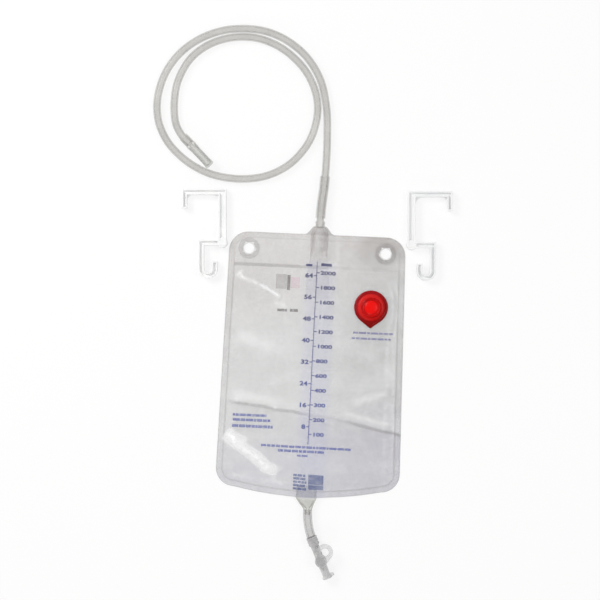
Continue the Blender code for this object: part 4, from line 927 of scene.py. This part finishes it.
CAP_RADIUS = 0.0190
CAP_SEAT = 0.00485
TIP_RADIUS = 0.0016
TIP_CENTRE = 0.0234 - TIP_RADIUS
CAP_UNDER = [(0.1, 3.7), (8.4, 3.7), (9.0, 3.1), (9.0, 0.2), (9.4, 0.0)]    # radius and level
CAP_RIM = [                     # inset from the outline, and level
    (1.2, 0), (0.4, 0.2), (0, 0.8), (0.1, 1.4), (0.6, 2), (1.3, 2.35), (2.2, 2.4), (2.9, 2.2),
    (3.3, 1.7), (3.8, 1.6),
]
CAP_DOME = [                    # radius and level
    (14.9, 1.6), (14.5, 1.8), (14.1, 2.4), (13.5, 2.7), (12.2, 2.7), (11.6, 2.8), (11.2, 3.3), (10.9, 4.3),
    (10.4, 4.9), (9.7, 5.1), (8.9, 5), (8.4, 4.7), (7.9, 4.7), (7.4, 5.1), (6.6, 5.7), (5, 6),
    (3, 6.2), (0.1, 6.2),
]


def drop_outline(turn, large, small, apart):
    """Polar outline of the hull of two circles: the large one about the middle, the small one at angle 0."""
    tangent = math.acos((large - small) / apart)
    line = large / np.cos(np.clip(tangent - np.abs(turn), 0.0, None))
    end = apart * np.cos(turn) + np.sqrt(np.maximum(small ** 2 - (apart * np.sin(turn)) ** 2, 0.0))
    past_line = line * np.cos(turn) > apart + small * math.cos(tangent)
    return np.where(past_line, np.minimum(line, end), line)


def polar_rings(rows, angles, centre):
    """Rings about a centre; each row gives the radius, one or one for each angle, and the level."""
    x, y = np.cos(angles), np.sin(angles)
    return np.stack([np.column_stack([centre[0] + radius * x, centre[1] + radius * y, level + 0 * x])
                     for radius, level in rows])


def ended_faces(rows, count):
    """Faces through rows of rings, with one face across the first ring and one across the last."""
    end = np.arange(count)[None, :]
    return [grid_faces(rows, count)[:, ::-1], end[:, ::-1], end + (rows - 1) * count]


vent_finish = make_clear_finish("vent_ring_plastic", (0.55, 0.54, 0.53), 0.45, 0.90, 0.25)
lathe("vent_ring_moulded", [
    (6.2, 8.15), (8.2, 8.15), (8.6, 7.8), (8.6, 3.9), (16, 3.9), (16, 3), (4.6, 3), (4.6, 6.15),
    (6.2, 6.15),
], upright(VENT), vent_finish, "bag", ["vent_ring"], 0.3, 56)

felt_finish = Finish("filter_felt", (0.82, 0.82, 0.80), 0.9)
felt_finish.feed("Base Color", felt_finish.mix(felt_finish.noise(1200.0, 4.0), (0.70, 0.70, 0.68),
                                               (0.90, 0.90, 0.88)))
felt_finish.bump(felt_finish.noise(2600.0, 4.0, 0.7), 0.00015)
lathe("vent_filter_felt", [(0.0, 6.45), (5.9, 6.45), (5.9, 7.05), (0.0, 7.05)], upright(VENT), felt_finish,
      "bag", ["vent_filter"], 0.2, 40)

red_finish = Finish("red_polyethylene", (0.60, 0.002, 0.002), 0.26, Specular_IOR_Level=0.14)
red_x, red_y = red_finish.axes()
red_out = ((red_x - VENT[0]) ** 2 + (red_y - VENT[1]) ** 2) ** 0.5
red_lit_side = (red_y - red_x - (VENT[1] - VENT[0])).step(-0.018, 0.018)
red_finish.feed("Base Color", red_finish.mix(red_finish.noise(90.0, 2.0), (0.76, 0.002, 0.002),
                                             (0.90, 0.006, 0.004)))
# Painted light and shade: the rim and the groove are painted darker and the flat ring between them lighter,
# and each ring is painted in a shaded and a lit red that change from the lower right to the upper left.
for start, end, *reds in ((0.0068, 0.0082, (0.56, 0.002, 0.001), (0.42, 0.001, 0.001)),
                          (0.0100, 0.0116, (0.50, 0.004, 0.003), (0.66, 0.018, 0.018)),
                          (0.0142, 0.0160, (0.22, 0.001, 0.001), (0.33, 0.006, 0.009))):
    red_finish.lay((red_out.step(start, end), red_finish.mix(red_lit_side, *reds)))
red_finish.feed("Roughness", red_finish.noise(380.0, 3.0) * 0.16 + 0.20)
red_finish.bump(red_finish.noise(900.0, 3.0), 0.00005, 0.4)

cap_turn = turns(128, -math.pi)
cap_drop = drop_outline(cap_turn, CAP_RADIUS, TIP_RADIUS, TIP_CENTRE)
cap_rows = [(outline + sign * size * MM, CAP_SEAT + level * MM)
            for outline, sign, profile in ((0.0, 1, CAP_UNDER), (cap_drop, -1, CAP_RIM), (0.0, 1, CAP_DOME))
            for size, level in profile]
cap_rings = polar_rings(cap_rows, cap_turn - math.pi / 2, VENT)
add_piece("vent_cap_red", cap_rings, ended_faces(len(cap_rows), len(cap_turn)), red_finish, "vent_cover",
          ["vent_cap"], 40)


# Outlet tube
# A short piece of soft clear tube, 10 mm outside, pushed over the port's spigot and into the tap.

TAP_TURN = math.radians(24.3)
TAP_ALONG = Vector((math.sin(TAP_TURN), -math.cos(TAP_TURN), 0.0))
TAP_MOUTH = Vector((0.0070, -0.1910, 0.0063))
OUTLET_TUBE_RADIUS = 0.0050
OUTLET_TUBE_BORE = 0.0035


def curve_between(start, start_along, end, end_along, count):
    """Cubic curve that leaves and arrives in the given directions, a third of the way each."""
    start, start_along, end, end_along = map(np.array, (start, start_along, end, end_along))
    reach = np.linalg.norm(end - start) / 3
    t = np.linspace(0, 1, count)[:, None]
    return (start * (1 - t) ** 3 + (start + start_along * reach) * 3 * t * (1 - t) ** 2
            + (end - end_along * reach) * 3 * t * t * (1 - t) + end * t ** 3)


outlet_tube_path = curve_between((0.0016, -0.1613, 0.00565), (0, -1, 0), TAP_MOUTH + TAP_ALONG * 0.0045,
                                 TAP_ALONG, 40)
outlet_tube_finish = make_clear_finish("clear_outlet_tube", (0.33, 0.315, 0.31), 0.15, 0.62, 0.18, 1.5)
add_hose("outlet_tube_clear", outlet_tube_path, OUTLET_TUBE_RADIUS, OUTLET_TUBE_BORE, outlet_tube_finish,
         ["outlet_tube"], 32, 0.0003)


# Tap
# A lever tap moulded in natural polypropylene: a ribbed socket over the tube, a barrel with an upright
# boss, a spout with a small foot, and a plug whose lever ends in a finger ring.

PIVOT = TAP_MOUTH + TAP_ALONG * 0.0290
FOOT_START = TAP_MOUTH + TAP_ALONG * 0.0456
COLLAR = 6.2
BARREL = 4.6

tap_finish = make_moulded_finish("tap_polypropylene", (0.55, 0.555, 0.55), 0.36, 160.0, (0.52, 0.515, 0.515),
                                 (0.66, 0.65, 0.65), (420, 3, 0.2, 0.26), (1300, 3, 0.00005, 0.5))
tap_finish.lay((tap_finish.axes()[1].step(-0.208, -0.218), (0.72, 0.715, 0.715)))
tap_finish.feed("Alpha", (tap_finish.edge_on(0.45) * 0.40 + 0.52).least(1.0))
lever_finish = make_moulded_finish("lever_polypropylene", (0.72, 0.725, 0.72), 0.34, 160.0,
                                   (0.60, 0.605, 0.60), (0.74, 0.745, 0.74), (420, 3, 0.2, 0.24),
                                   (1300, 3, 0.00003, 0.3))
lever_finish.feed("Alpha", (lever_finish.edge_on(0.45) * 0.50 + 0.36).least(1.0))

lathe("tap_body_moulded", [
    (5.3, 0), (COLLAR - 0.2, 0), (COLLAR, 1.4), (COLLAR - 0.4, 2.2), (COLLAR - 0.4, 3.4), (COLLAR, 4.2),
    (COLLAR, 5.2), (COLLAR - 0.4, 6), (COLLAR - 0.4, 7.2), (COLLAR, 8), (COLLAR, 9), (BARREL, 10.5),
    (BARREL, 34), (BARREL - 0.3, 46.4), (5.5, 47.6), (5.5, 49.4), (5, 50), (2.6, 50), (2.6, 4.8), (5.3, 4.8),
], pointing(TAP_MOUTH, TAP_ALONG), tap_finish, "bag", ["tap_body"], 0.5)
lathe("tap_boss_moulded", [(4.3, 12.0), (6.2, 12.0), (6.6, 11.6), (6.6, 1.2), (6.0, 0.2), (4.3, 1.2)],
      upright(PIVOT), tap_finish, "bag", [], 0.5, 56)


def rounded_edge(edge, steps):
    """(inset, drop) over an edge rounded as a quarter of a circle, from the side to the face."""
    arc = np.radians(np.linspace(0, 90, steps))
    return list(zip(edge * (1 - np.cos(arc)), edge * (1 - np.sin(arc))))


def make_foot():
    """The spout's foot, a flat plate: rings of its outline drawn in towards its middle over rounded edges."""
    bottom, top, corner = 0.0035, 0.0091, 0.0012
    outline = rounded([(-0.0012, -0.0036), (0.0088, -0.0030), (0.0080, 0.0), (-0.0012, 0.0)], corner, 5)
    outline = outline @ spun(TAP_TURN) + FOOT_START[:2]
    middle = outline.mean(0)
    x, y = (outline - middle).T
    reach = np.hypot(x, y)
    edge = rounded_edge(0.0006, 5)
    rows = [(reach - inset, bottom + drop) for inset, drop in edge[::-1]]
    rows += [(reach - inset, top - drop) for inset, drop in edge]
    add_piece("tap_foot_moulded", polar_rings(rows, np.arctan2(y, x), middle), ended_faces(len(rows), len(x)),
              tap_finish, "bag")


def make_lever():
    """Lever seen from above: the hull of a small and a large circle, with the finger hole in the large one.

    In polar form about the hole, rings run from the outside wall over the rounded rim to the hole and back.
    """
    head, ring, apart, hole = 0.0062, 0.0092, 0.0117, 0.0044
    bottom, top = 0.0123, 0.0153
    away = math.radians(71.0)
    turn = turns(120, -math.pi)
    outer = drop_outline(turn, ring, head, apart)
    edge = rounded_edge(0.0007, 6)
    rows = [(outer - inset, top - drop) for inset, drop in edge]
    rows += [(outer - 0.0012, top), (outer - 0.0016, top - 0.0004), (hole + 0.0019, top - 0.0004),
             (hole + 0.0015, top)]
    rows += [(hole + inset, top - drop) for inset, drop in edge[::-1]]
    rows += [(hole + inset, bottom + drop) for inset, drop in edge]
    rows += [(outer - inset, bottom + drop) for inset, drop in edge[::-1]]
    centre = PIVOT.xy + apart * Vector((math.cos(away), math.sin(away)))
    add_piece("tap_lever_moulded", polar_rings(rows, turn + away + math.pi, centre),
              [grid_faces(len(rows), len(turn), closed=True)], lever_finish, "tap_lever",
              ["tap_plug"], 40)


make_foot()
make_lever()
lathe("tap_plug_stem", [(0.0, 1.5), (4.0, 1.5), (4.0, 12.8), (0.0, 12.8)], upright(PIVOT), lever_finish,
      "tap_lever", [], 0.3, 40)


# Bed hangers
# Two white moulded hangers, 9 mm thick, lie loose beside the bag: a wide hook for the bed rail above and a
# small hook for the bag below.  A rim 1.7 mm wide runs round both faces of a thin web, and webs round the
# inner corners of the wide hook.

RIM = 0.0017
DEPTH = 0.0090
POCKET = 0.0030
GUSSET = 0.0085

hanger_finish = make_moulded_finish("white_polypropylene", (0.82, 0.82, 0.82), 0.4, 34.0,
                                    (0.88, 0.885, 0.89), (0.93, 0.93, 0.925), (500, 3, 0.2, 0.30),
                                    (1400, 3, 0.00006, 0.5), 0.45)
scuff = hanger_finish.noise(420.0, 4.0, 0.7, (1.0, 0.2, 1.0, 20.0)).step(0.62, 0.74)
hanger_finish.lay((scuff * 0.2, (0.80, 0.80, 0.79)))


def make_hanger(side, place, sign):
    """A rimmed bar carried along the hanger's centre line: each corner of its section keeps its inset from
    the edge, and consecutive stretches meet where their offset lines cross."""
    reach, post, lip, jog, drop, bend = 0.0424, 0.0568, 0.0187, 0.0238, 0.0292, 0.0076
    turn = np.radians(np.linspace(0, -180, 19))[:, None]
    hook = (jog - bend, -post - drop) + bend * np.hstack([np.cos(turn), np.sin(turn)])
    points = np.vstack([[(reach, -lip), (reach, 0), (0, 0), (0, -post), (jog, -post)], hook,
                        [hook[-1] + (0, 0.0085)]])
    widths = np.array([0.0056, 0.0064, 0.0088] + [0.0064] * (len(points) - 4))
    runs = np.diff(points, axis=0)
    runs /= np.linalg.norm(runs, axis=1)[:, None]
    normals = np.column_stack([-runs[:, 1], runs[:, 0]])
    sine = np.einsum("ij,ij->i", normals[1:], runs[:-1])
    cosine = np.einsum("ij,ij->i", normals[:-1], normals[1:])
    bent = np.abs(sine) > 1e-6
    section = [(1, 0, 0), (1, 0, DEPTH), (1, RIM, DEPTH), (1, RIM, DEPTH - POCKET),
               (-1, RIM, DEPTH - POCKET), (-1, RIM, DEPTH), (-1, 0, DEPTH), (-1, 0, 0), (-1, RIM, 0),
               (-1, RIM, POCKET), (1, RIM, POCKET), (1, RIM, 0)]

    def put(flat):
        """Flat points of a right-hand hanger, mirrored if asked and turned into place."""
        return flat * (sign, 1) @ spun(LEAN) + place

    columns = []
    for edge, inset, level in section:
        offset = edge * (widths / 2 - inset)
        slide = np.where(bent, offset[1:] - offset[:-1] * cosine, 0.0) / np.where(bent, sine, 1.0)
        beside = normals * offset[:, None]
        line = np.vstack([points[0] + beside[0] + runs[0] * inset,
                          points[1:-1] + beside[:-1] + runs[:-1] * slide[:, None],
                          points[-1] + beside[-1] - runs[-1] * inset])
        columns.append(np.column_stack([put(line), np.full(len(line), level)]))
    ends = np.array([(0, 1, 6, 7), (1, 2, 5, 6), (2, 3, 4, 5), (0, 7, 8, 11), (11, 8, 9, 10)])
    faces = [grid_faces(len(points), len(section)), ends, ends[:, ::-1] + (len(points) - 1) * len(section)]
    bar = add_piece("hanger_moulded_" + side, np.stack(columns, axis=1), faces, hanger_finish, "bag",
                    ["hanger_" + side])
    soft = bar.modifiers.new("moulded_edges", "BEVEL")
    soft.width = 0.00035
    soft.segments = 2
    soft.limit_method = "ANGLE"
    soft.angle_limit = math.radians(40)

    t = np.linspace(0, 1, 13)
    legs = np.column_stack([np.clip(1 - 2 * t, 0, 1) - 0.05, 0.05 - np.clip(2 * t - 1, 0, 1)])
    arc = np.column_stack([1 - np.sin(t * math.pi / 2), np.cos(t * math.pi / 2) - 1])
    outline = np.stack([legs, arc, arc, legs], axis=1)
    levels = np.broadcast_to([POCKET, POCKET, DEPTH - POCKET, DEPTH - POCKET], (len(t), 4))
    gussets = ((0.0044, 1, GUSSET), (reach - 0.0028, -1, GUSSET * 0.8))
    for number, (corner_x, toward, radius) in enumerate(gussets):
        flat = put(outline * (toward * radius, radius) + (corner_x, -0.0032))
        add_piece(f"hanger_gusset_{side}_{number}", np.dstack([flat, levels]), ended_faces(len(t), 4),
                  hanger_finish, "bag")
    lathe("hanger_knuckle_" + side, [(0.0, 0.3), (5.2, 0.3), (5.8, 0.9), (5.8, 8.1), (5.2, 8.7), (0.0, 8.7)],
          upright(put(np.array([0.0, -post]))), hanger_finish, "bag")


make_hanger("right", (0.1026, 0.1970), 1)
make_hanger("left", (-0.1090, 0.1904), -1)
